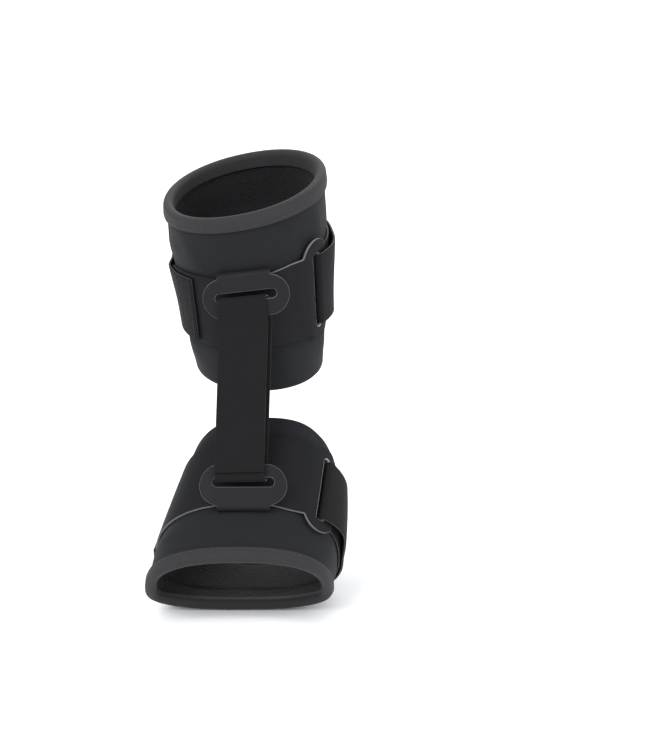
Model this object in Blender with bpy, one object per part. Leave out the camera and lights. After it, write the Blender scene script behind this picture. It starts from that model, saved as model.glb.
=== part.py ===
"""Night splint: a calf cuff and a foot cuff of soft cloth, drawn together by a strap in front.

Metres, +Z up, toes towards -Y. The origin is the middle of the calf cuff's hollow.
Both cuffs are tubes of tilted ovals. A place on a cuff is given by three lengths:
girth (round the cuff from its front line, + towards +X), along (down the cuff from
its first edge) and off (out from the cuff's outer face).
"""
import math
from typing import NamedTuple

import bmesh
import bpy
import numpy as np
from mathutils import Vector
from mathutils.geometry import delaunay_2d_cdt

MM = 0.001

# The place of the origin above the underside of the foot cuff
SEAT_HEIGHT = 162 * MM

# Cloth
CUFF_WALL = 3.0 * MM
BINDING_WALL = 1.0 * MM
BINDING_WIDTH = 8.0 * MM
BINDING_BEND = 0.7
BINDING_ROUND = 0.2
WING_WALL = 1.6 * MM
STRAP_WALL = 1.5 * MM
FRONT_STRAP_WALL = 1.5 * MM
CLEARANCE = 0.4 * MM

# Calf cuff, over its outer face
CALF_WIDTH = 85.4 * MM
CALF_DEPTH = 92 * MM
CALF_LENGTH = 101 * MM
CALF_HEM_HEIGHT = 117 * MM
CALF_LEAN = -0.076
CALF_RIM_SLOPE = 0.20
CALF_FRONT_DROP = 0.09
CALF_ROUNDNESS = 2.1

# Foot cuff, over its outer face
FOOT_ANKLE_WIDTH = 80 * MM
FOOT_TOE_WIDTH = 97.4 * MM
FOOT_ANKLE_HEIGHT = 101 * MM
FOOT_TOE_HEIGHT = 45 * MM
FOOT_ANKLE_REACH = 42 * MM
FOOT_TOE_REACH = 107 * MM
FOOT_HEEL_REACH = 12 * MM
FOOT_BALL_REACH = 68 * MM
FOOT_ANKLE_SIDE = 5.5 * MM
FOOT_TOE_SIDE = -7.3 * MM

# Overlays, laid flat: across from the front line, and out from the fold line
WING_HEIGHT = 41 * MM
WING_RIGHT_LIFT = 2.2 * MM
WING_LEFT_LIFT = 0.8 * MM
WING_CORNER = 5 * MM
WING_RIGHT_TURN = 0.45
WING_RIGHT_BEND = 0.5
WING_LEFT_TURN = 0.6
LUG_RADIUS = 9 * MM
LUG_RISE_ROOM = 8 * MM
SLOT_PLACE = 39.3 * MM
SLOT_WIDTH = 5.0 * MM
SLOT_OUTER = 2.8 * MM
SEWN_OUTER = -0.5 * MM
STRAP_SLOT = 41 * MM
CALF_FOLD = 34 * MM
CALF_WING_REACH = 56 * MM
FOOT_FOLD = 53 * MM
FOOT_WING_REACH = 88 * MM

# Tabs, measured from their fold
TAB_WIDTH = 46 * MM
TAB_LENGTH = 22 * MM
TAB_NECK = 28 * MM
TAB_TAIL = 1.2 * MM
TAB_SLOT_HEIGHT = 5 * MM
TAB_SLOT_WIDTH = 33 * MM
FOLD_RADIUS = 1.8 * MM
LOBE_DROOP = 30 * MM
LOBE_START_ANGLE = -70
CALF_TAB_PLACE = -1.6 * MM
CALF_TAB_SLOT = 8 * MM
CALF_TAB_TILT = 0.0
CALF_TAB_RISE = 12.0
FOOT_TAB_PLACE = -1.4 * MM
FOOT_TAB_SLOT = 10 * MM
FOOT_TAB_TILT = 0.0
FOOT_TAB_RISE = 24.0

# Side straps
STRAP_WIDTH = 38.6 * MM
CALF_STRAP_START = 31 * MM
CALF_STRAP_FREE_END = 96 * MM
CALF_STRAP_BULGE = 1.0 * MM
FOOT_STRAP_START = 72 * MM
FOOT_STRAP_FREE_END = 112 * MM
FOOT_STRAP_BULGE = 1.6 * MM
BULGE_RUN = 34 * MM
LAY_DOWN_START = 1 * MM
LAY_DOWN_END = 12 * MM
SETTLE_RUN = 22 * MM
PAST_BACK_START = 0.3
PAST_BACK_END = 0.7
BAR_EDGE_ROOM = 0.1 * MM

# Front strap
FRONT_STRAP_WIDTH = 26 * MM
STRAP_TAIL = 34 * MM
FREE_END_SETBACK = 2.5 * MM
SLOT_EDGE_ROOM = 1.0 * MM
TAB_END_ROOM = 3 * MM
UPPER_FRONT_SHIFT = -3.0 * MM
UPPER_BACK_SHIFT = -1.1 * MM
LOWER_FRONT_SHIFT = -1.9 * MM
LOWER_BACK_SHIFT = 0.0 * MM

# Middles of the layers, out from a cuff's outer face
WING_OFF = CLEARANCE + WING_WALL / 2
STRAP_OFF = CLEARANCE + STRAP_WALL / 2
BAR_OFF = STRAP_OFF + STRAP_WALL / 2 + CLEARANCE + WING_WALL / 2
STRAP_OVER_WING = WING_OFF + WING_WALL / 2 + CLEARANCE + STRAP_WALL / 2
STRAP_OVER_BAR = BAR_OFF + WING_WALL / 2 + CLEARANCE + STRAP_WALL / 2
STRAP_OVER_STRAP = STRAP_OFF + STRAP_WALL + CLEARANCE
STRAP_OFF_BAR = WING_WALL / 2 + CLEARANCE + FRONT_STRAP_WALL / 2

# Fineness of the meshes
ROUND_STEPS = 56
ALONG_STEPS = 7
SHEET_PITCH = 5.2 * MM
TAB_PITCH = 4.6 * MM
STRAP_PITCH = 5.4 * MM
CALF_STRAP_COLUMNS = 5
FOOT_STRAP_COLUMNS = 6
TURN_STEPS = 9
CURL_STEPS = 6
SLOT_END_STEPS = 5
SLOT_SIDE_STEPS = 6
LUG_STEPS = 10
CORNER_STEPS = 4
TAIL_STEPS = 3
BACK_RUN_STEPS = 6
FRONT_RUN_STEPS = 8
NECK_SHARES = (0.6, 0.2, -0.2, -0.6)
SHEET_MARGIN = 0.45
TAB_MARGIN = 0.4
CURL_MARGIN = 0.08
FRONT_LINE_STEPS = 21
DENSE_STEPS = 720
MERGE_WITHIN = 1e-7
WITHIN_EDGES = 1
EDGE_ANGLE = 40


class CalfSection(NamedTuple):
    """Shares of the calf cuff's length, width and depth, and how far its middle lies back."""
    along: float
    width: float
    depth: float
    back: float


CALF_SECTIONS = (
    CalfSection(along=0.00, width=1.000, depth=1.00, back=0.045),
    CalfSection(along=0.30, width=0.972, depth=0.97, back=0.040),
    CalfSection(along=0.60, width=0.885, depth=0.91, back=0.028),
    CalfSection(along=0.85, width=0.845, depth=0.87, back=0.015),
    CalfSection(along=1.00, width=0.810, depth=0.84, back=0.010),
)


class FootSection(NamedTuple):
    """Shares between the ankle edge (0) and the toe edge (1), and the section's form."""
    along: float
    width: float
    height: float
    reach: float
    widest: float
    upper: float
    lower: float


FOOT_SECTIONS = (
    FootSection(along=0.00, width=0.00, height=0.00, reach=0.00, widest=0.475, upper=2.8, lower=2.4),
    FootSection(along=0.35, width=0.62, height=0.37, reach=0.35, widest=0.43, upper=2.6, lower=2.5),
    FootSection(along=0.70, width=0.97, height=0.72, reach=0.70, widest=0.38, upper=2.5, lower=2.6),
    FootSection(along=1.00, width=1.00, height=1.00, reach=1.00, widest=0.33, upper=2.4, lower=2.6),
)


def smooth(rows, column, along):
    """Reads a column of a table of sections on a smooth curve through its rows."""
    places = [row.along for row in rows]
    values = [getattr(row, column) for row in rows]
    slopes = np.gradient(values, places)
    index = min(max(int(np.searchsorted(places, along)) - 1, 0), len(rows) - 2)
    span = places[index + 1] - places[index]
    share = (along - places[index]) / span
    share = min(max(share, 0.0), 1.0)
    start = (1 + 2 * share) * (1 - share) ** 2 * values[index]
    end = share ** 2 * (3 - 2 * share) * values[index + 1]
    rise = share * (1 - share) ** 2 * span * slopes[index]
    fall = share ** 2 * (share - 1) * span * slopes[index + 1]
    return start + end + rise + fall


def mix(first, last, share):
    return first + (last - first) * share


def ease(value, start, end):
    """0 before start, 1 after end, and a soft step between."""
    share = min(max((value - start) / (end - start), 0.0), 1.0)
    return share * share * (3 - 2 * share)


def oval(centre, side, half_width, front, front_reach, front_power, back_reach, back_power):
    """A closed oval from its back round to its back again, with its front in the middle."""
    angle = np.linspace(-math.pi, math.pi, DENSE_STEPS + 1)
    across = np.sin(angle)
    ahead = np.cos(angle)
    power = np.where(ahead >= 0, front_power, back_power)
    reach = np.where(ahead >= 0, front_reach, back_reach)
    across = half_width * np.sign(across) * np.abs(across) ** (2 / power)
    ahead = reach * np.sign(ahead) * np.abs(ahead) ** (2 / power)
    return centre + np.outer(across, side) + np.outer(ahead, front)


def calf_section(along):
    height = CALF_HEM_HEIGHT + CALF_LENGTH * (1 - along)
    centre = np.array([
        CALF_LEAN * (height - SEAT_HEIGHT),
        smooth(CALF_SECTIONS, "back", along) * CALF_DEPTH,
        height,
    ])
    side = np.array([1.0, 0.0, CALF_RIM_SLOPE * (1 - along)])
    front = np.array([0.0, -1.0, -CALF_FRONT_DROP])
    width = smooth(CALF_SECTIONS, "width", along) * CALF_WIDTH / 2
    depth = smooth(CALF_SECTIONS, "depth", along) * CALF_DEPTH / 2
    return oval(centre, side, width, front, depth, CALF_ROUNDNESS, depth, CALF_ROUNDNESS)


def foot_section(along):
    side_place = mix(FOOT_ANKLE_SIDE, FOOT_TOE_SIDE, along)
    reach = smooth(FOOT_SECTIONS, "reach", along)
    crest = np.array([
        side_place,
        -mix(FOOT_ANKLE_REACH, FOOT_TOE_REACH, reach),
        mix(FOOT_ANKLE_HEIGHT, FOOT_TOE_HEIGHT, smooth(FOOT_SECTIONS, "height", along)),
    ])
    sole = np.array([side_place, -mix(FOOT_HEEL_REACH, FOOT_BALL_REACH, reach), 0.0])
    widest = smooth(FOOT_SECTIONS, "widest", along)
    tall = np.linalg.norm(crest - sole)
    centre = mix(sole, crest, widest)
    width = mix(FOOT_ANKLE_WIDTH, FOOT_TOE_WIDTH, smooth(FOOT_SECTIONS, "width", along)) / 2
    return oval(
        centre, np.array([1.0, 0.0, 0.0]), width, (crest - sole) / tall,
        tall * (1 - widest), smooth(FOOT_SECTIONS, "upper", along),
        tall * widest, smooth(FOOT_SECTIONS, "lower", along),
    )


class Cuff:
    """The outer face of a cuff, read by girth, along and off."""

    def __init__(self, section):
        self.section = section
        self.rings = {}
        front = [self.ring(share)[1][DENSE_STEPS // 2] for share in np.linspace(0, 1, FRONT_LINE_STEPS)]
        self.length = float(np.linalg.norm(np.diff(front, axis=0), axis=1).sum())

    def ring(self, share):
        key = round(float(share), 5)
        if key not in self.rings:
            points = self.section(key)
            run = np.concatenate([[0], np.cumsum(np.linalg.norm(np.diff(points, axis=0), axis=1))])
            self.rings[key] = (run - run[DENSE_STEPS // 2], points)
        return self.rings[key]

    def girth(self, share):
        run = self.ring(share)[0]
        return run[-1] - run[0]

    def face(self, turn, share):
        """The point at a share of the girth (-0.5 to 0.5 from the front line)."""
        run, points = self.ring(share)
        turn = (turn + 0.5) % 1 - 0.5
        place = mix(run[0], run[-1], turn + 0.5)
        return np.array([np.interp(place, run, points[:, axis]) for axis in range(3)])

    def at_turn(self, turn, along, off=0.0):
        share = along / self.length
        step_round, step_along = 0.002, 0.01
        inner = min(max(share, step_along), 1 - step_along)
        down = self.face(turn, inner + step_along) - self.face(turn, inner - step_along)
        across = self.face(turn + step_round, share) - self.face(turn - step_round, share)
        out = np.cross(down, across)
        return self.face(turn, share) + out / np.linalg.norm(out) * off

    def at(self, girth, along, off=0.0):
        return self.at_turn(girth / self.girth(along / self.length), along, off)


def material(name, colour, roughness):
    made = bpy.data.materials.new(name)
    made.use_nodes = True
    shader = made.node_tree.nodes["Principled BSDF"]
    shader.inputs["Base Color"].default_value = (*colour, 1.0)
    shader.inputs["Roughness"].default_value = roughness
    shader.inputs["Metallic"].default_value = 0.0
    return made


def turn_outwards(mesh):
    shape = bmesh.new()
    shape.from_mesh(mesh)
    bmesh.ops.recalc_face_normals(shape, faces=shape.faces)
    if shape.calc_volume(signed=True) < 0:
        bmesh.ops.reverse_faces(shape, faces=shape.faces)
    shape.to_mesh(mesh)
    shape.free()


def add_object(name, points, faces, finish, parent):
    mesh = bpy.data.meshes.new(name)
    mesh.from_pydata([tuple(point) for point in points], [], faces)
    mesh.validate()
    turn_outwards(mesh)
    mesh.shade_smooth()
    mesh.set_sharp_from_angle(angle=math.radians(EDGE_ANGLE))
    mesh.materials.append(finish)
    made = bpy.data.objects.new(name, mesh)
    made.parent = parent
    bpy.context.scene.collection.objects.link(made)
    return made


def ring_solid(name, rings, finish, parent):
    """A solid from closed profiles set round a ring: rings[i][j] is point j of profile i."""
    steps, size = len(rings), len(rings[0])
    points = [point for ring in rings for point in ring]
    faces = []
    for i in range(steps):
        for j in range(size):
            after, beside = (i + 1) % steps, (j + 1) % size
            faces.append((i * size + j, i * size + beside, after * size + beside, after * size + j))
    return add_object(name, points, faces, finish, parent)


def sheet_solid(name, middle, triangles, thickness, finish, parent):
    """A solid sheet: a thin mesh of triangles, given its thickness along its own normals."""
    middle = np.array(middle)
    normals = np.zeros_like(middle)
    for a, b, c in triangles:
        normal = np.cross(middle[b] - middle[a], middle[c] - middle[a])
        for corner in (a, b, c):
            normals[corner] += normal
    normals /= np.linalg.norm(normals, axis=1)[:, None]
    count = len(middle)
    points = np.vstack([middle + normals * thickness / 2, middle - normals * thickness / 2])
    faces = [tuple(face) for face in triangles]
    faces += [(a + count, c + count, b + count) for a, b, c in triangles]
    edges = {(a, b) for face in triangles for a, b in zip(face, face[1:] + face[:1])}
    for a, b in edges:
        if (b, a) not in edges:
            faces.append((b, a, a + count, b + count))
    return add_object(name, points, faces, finish, parent)


def strip_solid(name, rows, thickness, finish, parent):
    """A solid strap from rows of points across it."""
    size = len(rows[0])
    points = [point for row in rows for point in row]
    triangles = []
    for i in range(len(rows) - 1):
        for j in range(size - 1):
            corner = i * size + j
            triangles.append((corner, corner + 1, corner + size + 1))
            triangles.append((corner, corner + size + 1, corner + size))
    return sheet_solid(name, points, triangles, thickness, finish, parent)


def arc(centre, radius, start, end, steps):
    """Points on an arc, with its angles in degrees."""
    angles = np.radians(np.linspace(start, end, steps))
    return [(centre[0] + radius * math.cos(angle), centre[1] + radius * math.sin(angle)) for angle in angles]


def curve(points, pitch):
    """Points on a smooth curve through a few chosen ones, about a pitch apart."""
    points = np.array(points)
    run = np.concatenate([[0], np.cumsum(np.linalg.norm(np.diff(points, axis=0), axis=1))])
    slopes = np.gradient(points, run, axis=0)
    found = []
    for place in np.linspace(0, run[-1], max(2, round(run[-1] / pitch) + 1)):
        index = min(int(np.searchsorted(run, place, side="right")) - 1, len(points) - 2)
        span = run[index + 1] - run[index]
        share = (place - run[index]) / span
        found.append(
            (1 + 2 * share) * (1 - share) ** 2 * points[index]
            + share ** 2 * (3 - 2 * share) * points[index + 1]
            + share * (1 - share) ** 2 * span * slopes[index]
            + share ** 2 * (share - 1) * span * slopes[index + 1]
        )
    return [tuple(point) for point in found]


def filled(outlines, inner):
    """Triangles that fill an outline, less its holes, through the inner points given."""
    points, edges = [], []
    for outline in outlines:
        first = len(points)
        points += outline
        edges += [(first + i, first + (i + 1) % len(outline)) for i in range(len(outline))]
    points += inner
    found = delaunay_2d_cdt([Vector(point) for point in points], edges, [], WITHIN_EDGES, MERGE_WITHIN)
    flat = [tuple(point) for point in found[0]]
    triangles = []
    for face in found[2]:
        middle = tuple(sum(flat[corner][axis] for corner in face) / 3 for axis in (0, 1))
        if inside(middle, outlines, 0.0):
            triangles.append(tuple(face))
    return flat, triangles


def inside(point, outlines, margin):
    """True where a point lies in the outline, out of its holes, and a margin from every edge."""
    crossings = 0
    x, y = point
    for outline in outlines:
        for (x1, y1), (x2, y2) in zip(outline, outline[1:] + outline[:1]):
            span = max((x2 - x1) ** 2 + (y2 - y1) ** 2, 1e-16)
            share = min(max(((x - x1) * (x2 - x1) + (y - y1) * (y2 - y1)) / span, 0.0), 1.0)
            if math.hypot(x - mix(x1, x2, share), y - mix(y1, y2, share)) < margin:
                return False
            if (y1 > y) != (y2 > y) and x < x1 + (y - y1) * (x2 - x1) / (y2 - y1):
                crossings += 1
    return crossings % 2 == 1


def slot_outline(centre, length, height, upright):
    """A slot with round ends, long across or, if upright, long the other way."""
    reach = (length - height) / 2
    radius = height / 2
    if upright:
        top = arc((centre[0], centre[1] + reach), radius, 0, 180, SLOT_END_STEPS)
        low = arc((centre[0], centre[1] - reach), radius, 180, 360, SLOT_END_STEPS)
        down = [centre[1] + reach * (1 - 2 * i / SLOT_SIDE_STEPS) for i in range(1, SLOT_SIDE_STEPS)]
        left = [(centre[0] - radius, place) for place in down]
        right = [(centre[0] + radius, place) for place in reversed(down)]
        return top + left + low + right
    right = arc((centre[0] + reach, centre[1]), radius, -90, 90, SLOT_END_STEPS)
    return right + arc((centre[0] - reach, centre[1]), radius, 90, 270, SLOT_END_STEPS)


def cuff_wall(name, cuff, bound_last, finish, parent):
    """The sleeve itself; its bound edge leaves room for the binding's fold."""
    places = [BINDING_WALL + CLEARANCE]
    places += [mix(BINDING_WIDTH, cuff.length, i / ALONG_STEPS) for i in range(ALONG_STEPS + 1)]
    if bound_last:
        places = [cuff.length - place for place in places]
    profile = [(place, 0.0) for place in places] + [(place, -CUFF_WALL) for place in reversed(places)]
    return round_cuff(name, cuff, profile, finish, parent)


def binding(name, cuff, last_edge, finish, parent):
    """A band folded over one edge of a cuff, with a leg outside and a leg inside."""
    inner, outer = CLEARANCE, CLEARANCE + BINDING_WALL
    bend = outer * BINDING_BEND
    profile = [
        (BINDING_WIDTH, outer),
        (bend, outer),
        (0.0, inner - CUFF_WALL * BINDING_ROUND),
        (0.0, -inner - CUFF_WALL * (1 - BINDING_ROUND)),
        (bend, -outer - CUFF_WALL),
        (BINDING_WIDTH, -outer - CUFF_WALL),
        (BINDING_WIDTH, -inner - CUFF_WALL),
        (BINDING_WALL, -inner - CUFF_WALL),
        (BINDING_WALL, inner),
        (BINDING_WIDTH, inner),
    ]
    if last_edge:
        profile = [(cuff.length - along, off) for along, off in profile]
    return round_cuff(name, cuff, profile, finish, parent)


def round_cuff(name, cuff, profile, finish, parent):
    rings = [
        [cuff.at_turn(i / ROUND_STEPS - 0.5, along, off) for along, off in profile]
        for i in range(ROUND_STEPS)
    ]
    return ring_solid(name, rings, finish, parent)


def wing_outline(left_reach, frame):
    """The overlay laid flat: across, and out from the fold line. Its right end is a round lug."""
    lug_low = (SLOT_PLACE, SLOT_OUTER - STRAP_SLOT + SLOT_WIDTH / 2)
    lug_high = (SLOT_PLACE, SLOT_OUTER - SLOT_WIDTH / 2)
    edge = WING_RIGHT_LIFT
    meet_high = 180 - math.degrees(math.asin((edge - lug_high[1]) / LUG_RADIUS))
    meet_low = 180 + math.degrees(math.asin(min((lug_low[1] + WING_HEIGHT) / LUG_RADIUS, 1.0)))
    high_start = (lug_high[0] + LUG_RADIUS * math.cos(math.radians(meet_high)), edge)
    neck = TAB_NECK / 2 + 2 * CLEARANCE
    right, left = frame.place + neck, frame.place - neck
    corner = WING_CORNER
    outline = arc(lug_low, LUG_RADIUS, meet_low, 360, LUG_STEPS)
    outline += arc(lug_high, LUG_RADIUS, 0, meet_high, LUG_STEPS)[:-1]
    right_turn = (mix(right, high_start[0], WING_RIGHT_TURN), edge * WING_RIGHT_BEND)
    outline += curve([high_start, right_turn, (right, neck * frame.slope)], SHEET_PITCH)
    outline += [(frame.place + neck * share, neck * frame.slope * share) for share in NECK_SHARES]
    left_turn = (-left_reach * WING_LEFT_TURN, WING_LEFT_LIFT)
    outline += curve([(left, -neck * frame.slope), left_turn, (-left_reach + corner, 0.0)], SHEET_PITCH)
    outline += arc((-left_reach + corner, -corner), corner, 90, 180, CORNER_STEPS)[1:]
    outline += arc((-left_reach + corner, corner - WING_HEIGHT), corner, 180, 270, CORNER_STEPS)
    steps = round((high_start[0] + left_reach) / SHEET_PITCH)
    low_end = lug_low[0] + LUG_RADIUS * math.cos(math.radians(meet_low))
    outline += [
        (mix(-left_reach + corner, low_end, i / steps), -WING_HEIGHT) for i in range(1, steps)
    ]
    return outline


def wing(name, frame, left_reach, finish, parent):
    """The overlay, whose outer edge leaves room for the tab's neck."""
    outline = wing_outline(left_reach, frame)
    hole = slot_outline((SLOT_PLACE, SLOT_OUTER - STRAP_SLOT / 2), STRAP_SLOT, SLOT_WIDTH, True)
    loops = [outline, hole]
    inner = []
    for i in range(-round(left_reach / SHEET_PITCH), round(2 * SLOT_PLACE / SHEET_PITCH)):
        for j in range(-round(2 * WING_HEIGHT / SHEET_PITCH), round(WING_HEIGHT / SHEET_PITCH)):
            point = ((i + 0.5 * (j % 2)) * SHEET_PITCH, j * SHEET_PITCH)
            if inside(point, loops, SHEET_PITCH * SHEET_MARGIN):
                inner.append(point)
    flat, triangles = filled(loops, inner)
    points = []
    for across, out in flat:
        raised = ease(across, SLOT_PLACE - LUG_RADIUS - LUG_RISE_ROOM, SLOT_PLACE - SLOT_WIDTH)
        off = mix(WING_OFF, BAR_OFF, raised)
        points.append(frame.cuff.at(across, frame.fold_along + frame.outward * out, off))
    return sheet_solid(name, points, triangles, WING_WALL, finish, parent)


class TabFrame:
    """Where a tab folds over: its origin on the cuff, and its own three directions.

    Outward is -1 where the fold edge faces the cuff's first edge, and 1 where it faces the last.
    """

    def __init__(self, cuff, fold_along, outward, place, slot, tilt, rise):
        self.cuff = cuff
        self.fold_along = fold_along
        self.outward = outward
        self.place = place
        self.slot = slot
        self.rise = math.radians(rise)
        self.origin = cuff.at(place, fold_along)
        self.out = cuff.at(place, fold_along, 1.0) - self.origin
        round_step = (cuff.at(place + MM, fold_along) - self.origin) / MM
        along_step = (cuff.at(place, fold_along + MM) - self.origin) / MM
        across = round_step - self.out * round_step.dot(self.out)
        across /= np.linalg.norm(across)
        body = np.cross(self.out, across)
        body *= -outward * math.copysign(1.0, along_step.dot(body))
        turn = math.radians(tilt)
        self.body = body * math.cos(turn) - across * math.sin(turn)
        self.across = across * math.cos(turn) + body * math.sin(turn)
        steps = np.linalg.lstsq(np.column_stack([round_step, along_step]), self.across, rcond=None)[0]
        self.slope = outward * float(steps[1] / steps[0])
        self.curl = (-CLEARANCE - TAB_TAIL, WING_OFF + FOLD_RADIUS)
        self.curl_run = FOLD_RADIUS * (math.pi - self.rise)
        self.plate_run = TAB_TAIL + self.curl_run

    def profile(self, run):
        """How far towards the body, and how far out, a point of the sheet lies."""
        if run < TAB_TAIL:
            return -CLEARANCE - run, WING_OFF
        if run < self.plate_run:
            angle = (run - TAB_TAIL) / FOLD_RADIUS
            towards, out = FOLD_RADIUS * math.sin(angle), FOLD_RADIUS * math.cos(angle)
            return self.curl[0] - towards, self.curl[1] - out
        return self.plate(run - self.plate_run, 0.0)

    def plate(self, reach, proud):
        """A point at a reach from the fold, standing proud of the plate's middle."""
        towards, out = math.cos(self.rise), math.sin(self.rise)
        start = (self.curl[0] - FOLD_RADIUS * out, self.curl[1] + FOLD_RADIUS * towards)
        return start[0] + reach * towards - proud * out, start[1] + reach * out + proud * towards

    def world(self, across, profile, drop=0.0):
        return self.origin + self.across * across + self.body * profile[0] + self.out * (profile[1] - drop)

    def sheet_point(self, across, run):
        """A point of the tab: its tail follows the cuff, its plate is flat with drooping lobes."""
        round_cuff_point = self.cuff.at(self.place + across, self.fold_along) - self.origin
        follow = -float(round_cuff_point.dot(self.out))
        flatten = ease(run, TAB_TAIL, self.plate_run)
        beyond = max(abs(across) - TAB_NECK / 2, 0.0)
        droop = beyond ** 2 / (2 * LOBE_DROOP)
        return self.world(across, self.profile(run), mix(follow, droop, flatten))


def tab(name, frame, finish, parent):
    """The slotted plate with round ends, folded over at its neck."""
    start = frame.plate_run
    neck = TAB_NECK / 2
    radius = TAB_LENGTH / 2
    lobe = TAB_WIDTH / 2 - radius
    curl = [frame.plate_run * i / CURL_STEPS for i in range(CURL_STEPS + 1)]
    right = arc((lobe, start + radius), radius, LOBE_START_ANGLE, 90, LUG_STEPS)
    left = arc((-lobe, start + radius), radius, 90, 180 - LOBE_START_ANGLE, LUG_STEPS)
    outline = [(neck, run) for run in curl] + right + left + [(-neck, run) for run in reversed(curl)]
    outline += [(-neck * share, 0.0) for share in NECK_SHARES]
    slot_middle = start + frame.slot + TAB_SLOT_HEIGHT / 2
    hole = slot_outline((0.0, slot_middle), TAB_SLOT_WIDTH, TAB_SLOT_HEIGHT, False)
    columns = round(TAB_WIDTH / 2 / TAB_PITCH)
    rows = curl + [start + TAB_PITCH * i for i in range(1, round(TAB_LENGTH / TAB_PITCH) + 1)]
    inner = []
    for run in rows:
        margin = TAB_PITCH * (CURL_MARGIN if run < start else TAB_MARGIN)
        for i in range(-columns, columns + 1):
            if inside((TAB_PITCH * i, run), [outline, hole], margin):
                inner.append((TAB_PITCH * i, run))
    flat, triangles = filled([outline, hole], inner)
    points = [frame.sheet_point(across, run) for across, run in flat]
    return sheet_solid(name, points, triangles, WING_WALL, finish, parent)


def side_strap(name, frame, path, columns, finish, parent):
    """A wide strap laid on a cuff along a path of girth and off, square to the overlay's ends."""
    cuff, outward = frame.cuff, frame.outward
    margin = (STRAP_SLOT - STRAP_WIDTH) / 2
    whole = cuff.girth(frame.fold_along / cuff.length)
    rows = []
    for girth, off in path:
        past_back = ease(-girth / whole, PAST_BACK_START, PAST_BACK_END)
        high = frame.fold_along + outward * (mix(SEWN_OUTER, SLOT_OUTER, past_back) - margin)
        row = []
        for share in np.linspace(0, 1, columns):
            place = high - outward * STRAP_WIDTH * share
            here = cuff.girth(place / cuff.length)
            turn = mix(girth / here, (whole + girth) / here - 1, past_back)
            row.append(cuff.at_turn(turn, place, off))
        rows.append(row)
    return strip_solid(name, rows, STRAP_WALL, finish, parent)


def turn_round_bar(edge, first, last):
    """The strap's U-turn round a bar's edge, from the inner layer to the outer one."""
    middle, radius = (first + last) / 2, (last - first) / 2
    centre = edge + BAR_EDGE_ROOM
    return [
        (centre - radius * math.sin(angle), middle - radius * math.cos(angle))
        for angle in np.linspace(0, math.pi, TURN_STEPS)
    ]


def side_strap_path(frame, start, wing_end, free_end, bulge):
    """From the strap's sewn end round the back, under the bar, out of the slot and back."""
    girth = frame.cuff.girth(frame.fold_along / frame.cuff.length)
    path = []
    for place in np.arange(start, wing_end + 3 * STRAP_PITCH, STRAP_PITCH / 2):
        down = ease(place, wing_end + LAY_DOWN_START, wing_end + LAY_DOWN_END)
        path.append((-place, mix(STRAP_OVER_WING, STRAP_OFF, down)))
    bar = SLOT_PLACE + SLOT_WIDTH / 2
    turn = turn_round_bar(bar, STRAP_OFF, STRAP_OVER_BAR)
    near = [(place - girth, off) for place, off in turn]
    steps = round((path[-1][0] - near[0][0]) / STRAP_PITCH)
    path += [(mix(path[-1][0], near[0][0], i / steps), STRAP_OFF) for i in range(1, steps)]
    path += near
    first, last = near[-1][0], free_end - girth
    steps = round((last - first) / STRAP_PITCH)
    for i in range(1, steps + 1):
        place = mix(first, last, i / steps)
        settle = ease(place - first, LUG_RADIUS, LUG_RADIUS + SETTLE_RUN)
        off = mix(STRAP_OVER_BAR, STRAP_OVER_STRAP, settle)
        path.append((place, off + bulge * math.sin(math.pi * min((place - first) / BULGE_RUN, 1.0))))
    return path


def front_strap(name, upper, lower, finish, parent):
    """The narrow strap: up behind from the lower slot, round the upper bar and down in front."""
    beside = STRAP_OFF_BAR
    centre = TAB_SLOT_HEIGHT - SLOT_EDGE_ROOM + beside - FRONT_STRAP_WALL / 2
    clear = TAB_LENGTH + TAB_END_ROOM
    layer = FRONT_STRAP_WALL + CLEARANCE

    def point(frame, shift, reach, proud):
        return frame.world(shift, frame.plate(reach, proud))

    def half_turn(frame, shifts, start, end):
        found = []
        for share in np.linspace(0, 1, TURN_STEPS):
            angle = math.pi * share
            proud = (start + end) / 2 + (start - end) / 2 * math.cos(angle)
            reach = frame.slot + centre - beside * math.sin(angle)
            found.append(point(frame, mix(*shifts, share), reach, proud))
        return found

    def run_between(first, last, steps):
        return [mix(first, last, i / steps) for i in range(1, steps)]

    front_low = point(lower, LOWER_FRONT_SHIFT, clear, beside + layer)
    front_high = point(upper, UPPER_FRONT_SHIFT, clear, beside)
    towards = (front_high - front_low) / np.linalg.norm(front_high - front_low)
    tail_low = point(lower, LOWER_FRONT_SHIFT, clear, beside)
    back_low = point(lower, LOWER_BACK_SHIFT, clear, -beside)
    back_high = point(upper, UPPER_BACK_SHIFT, clear, -beside)
    tail_high = tail_low + towards * STRAP_TAIL
    path = [tail_high] + run_between(tail_high, tail_low, TAIL_STEPS) + [tail_low]
    path += half_turn(lower, (LOWER_FRONT_SHIFT, LOWER_BACK_SHIFT), beside, -beside)
    path += [back_low] + run_between(back_low, back_high, BACK_RUN_STEPS) + [back_high]
    path += half_turn(upper, (UPPER_BACK_SHIFT, UPPER_FRONT_SHIFT), -beside, beside)
    path += [front_high] + run_between(front_high, front_low, FRONT_RUN_STEPS) + [front_low]
    free_end = lower.slot + TAB_SLOT_HEIGHT + FREE_END_SETBACK
    path += [point(lower, LOWER_FRONT_SHIFT, free_end, beside + layer)]
    rows = []
    for place in path:
        share = (place - lower.origin).dot(towards) / (upper.origin - lower.origin).dot(towards)
        across = mix(lower.across, upper.across, min(max(share, 0.0), 1.0))
        across /= np.linalg.norm(across)
        rows.append([place - across * FRONT_STRAP_WIDTH / 2, place + across * FRONT_STRAP_WIDTH / 2])
    return strip_solid(name, rows, FRONT_STRAP_WALL, finish, parent)


def clear_scene():
    for item in list(bpy.data.objects):
        bpy.data.objects.remove(item)


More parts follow.
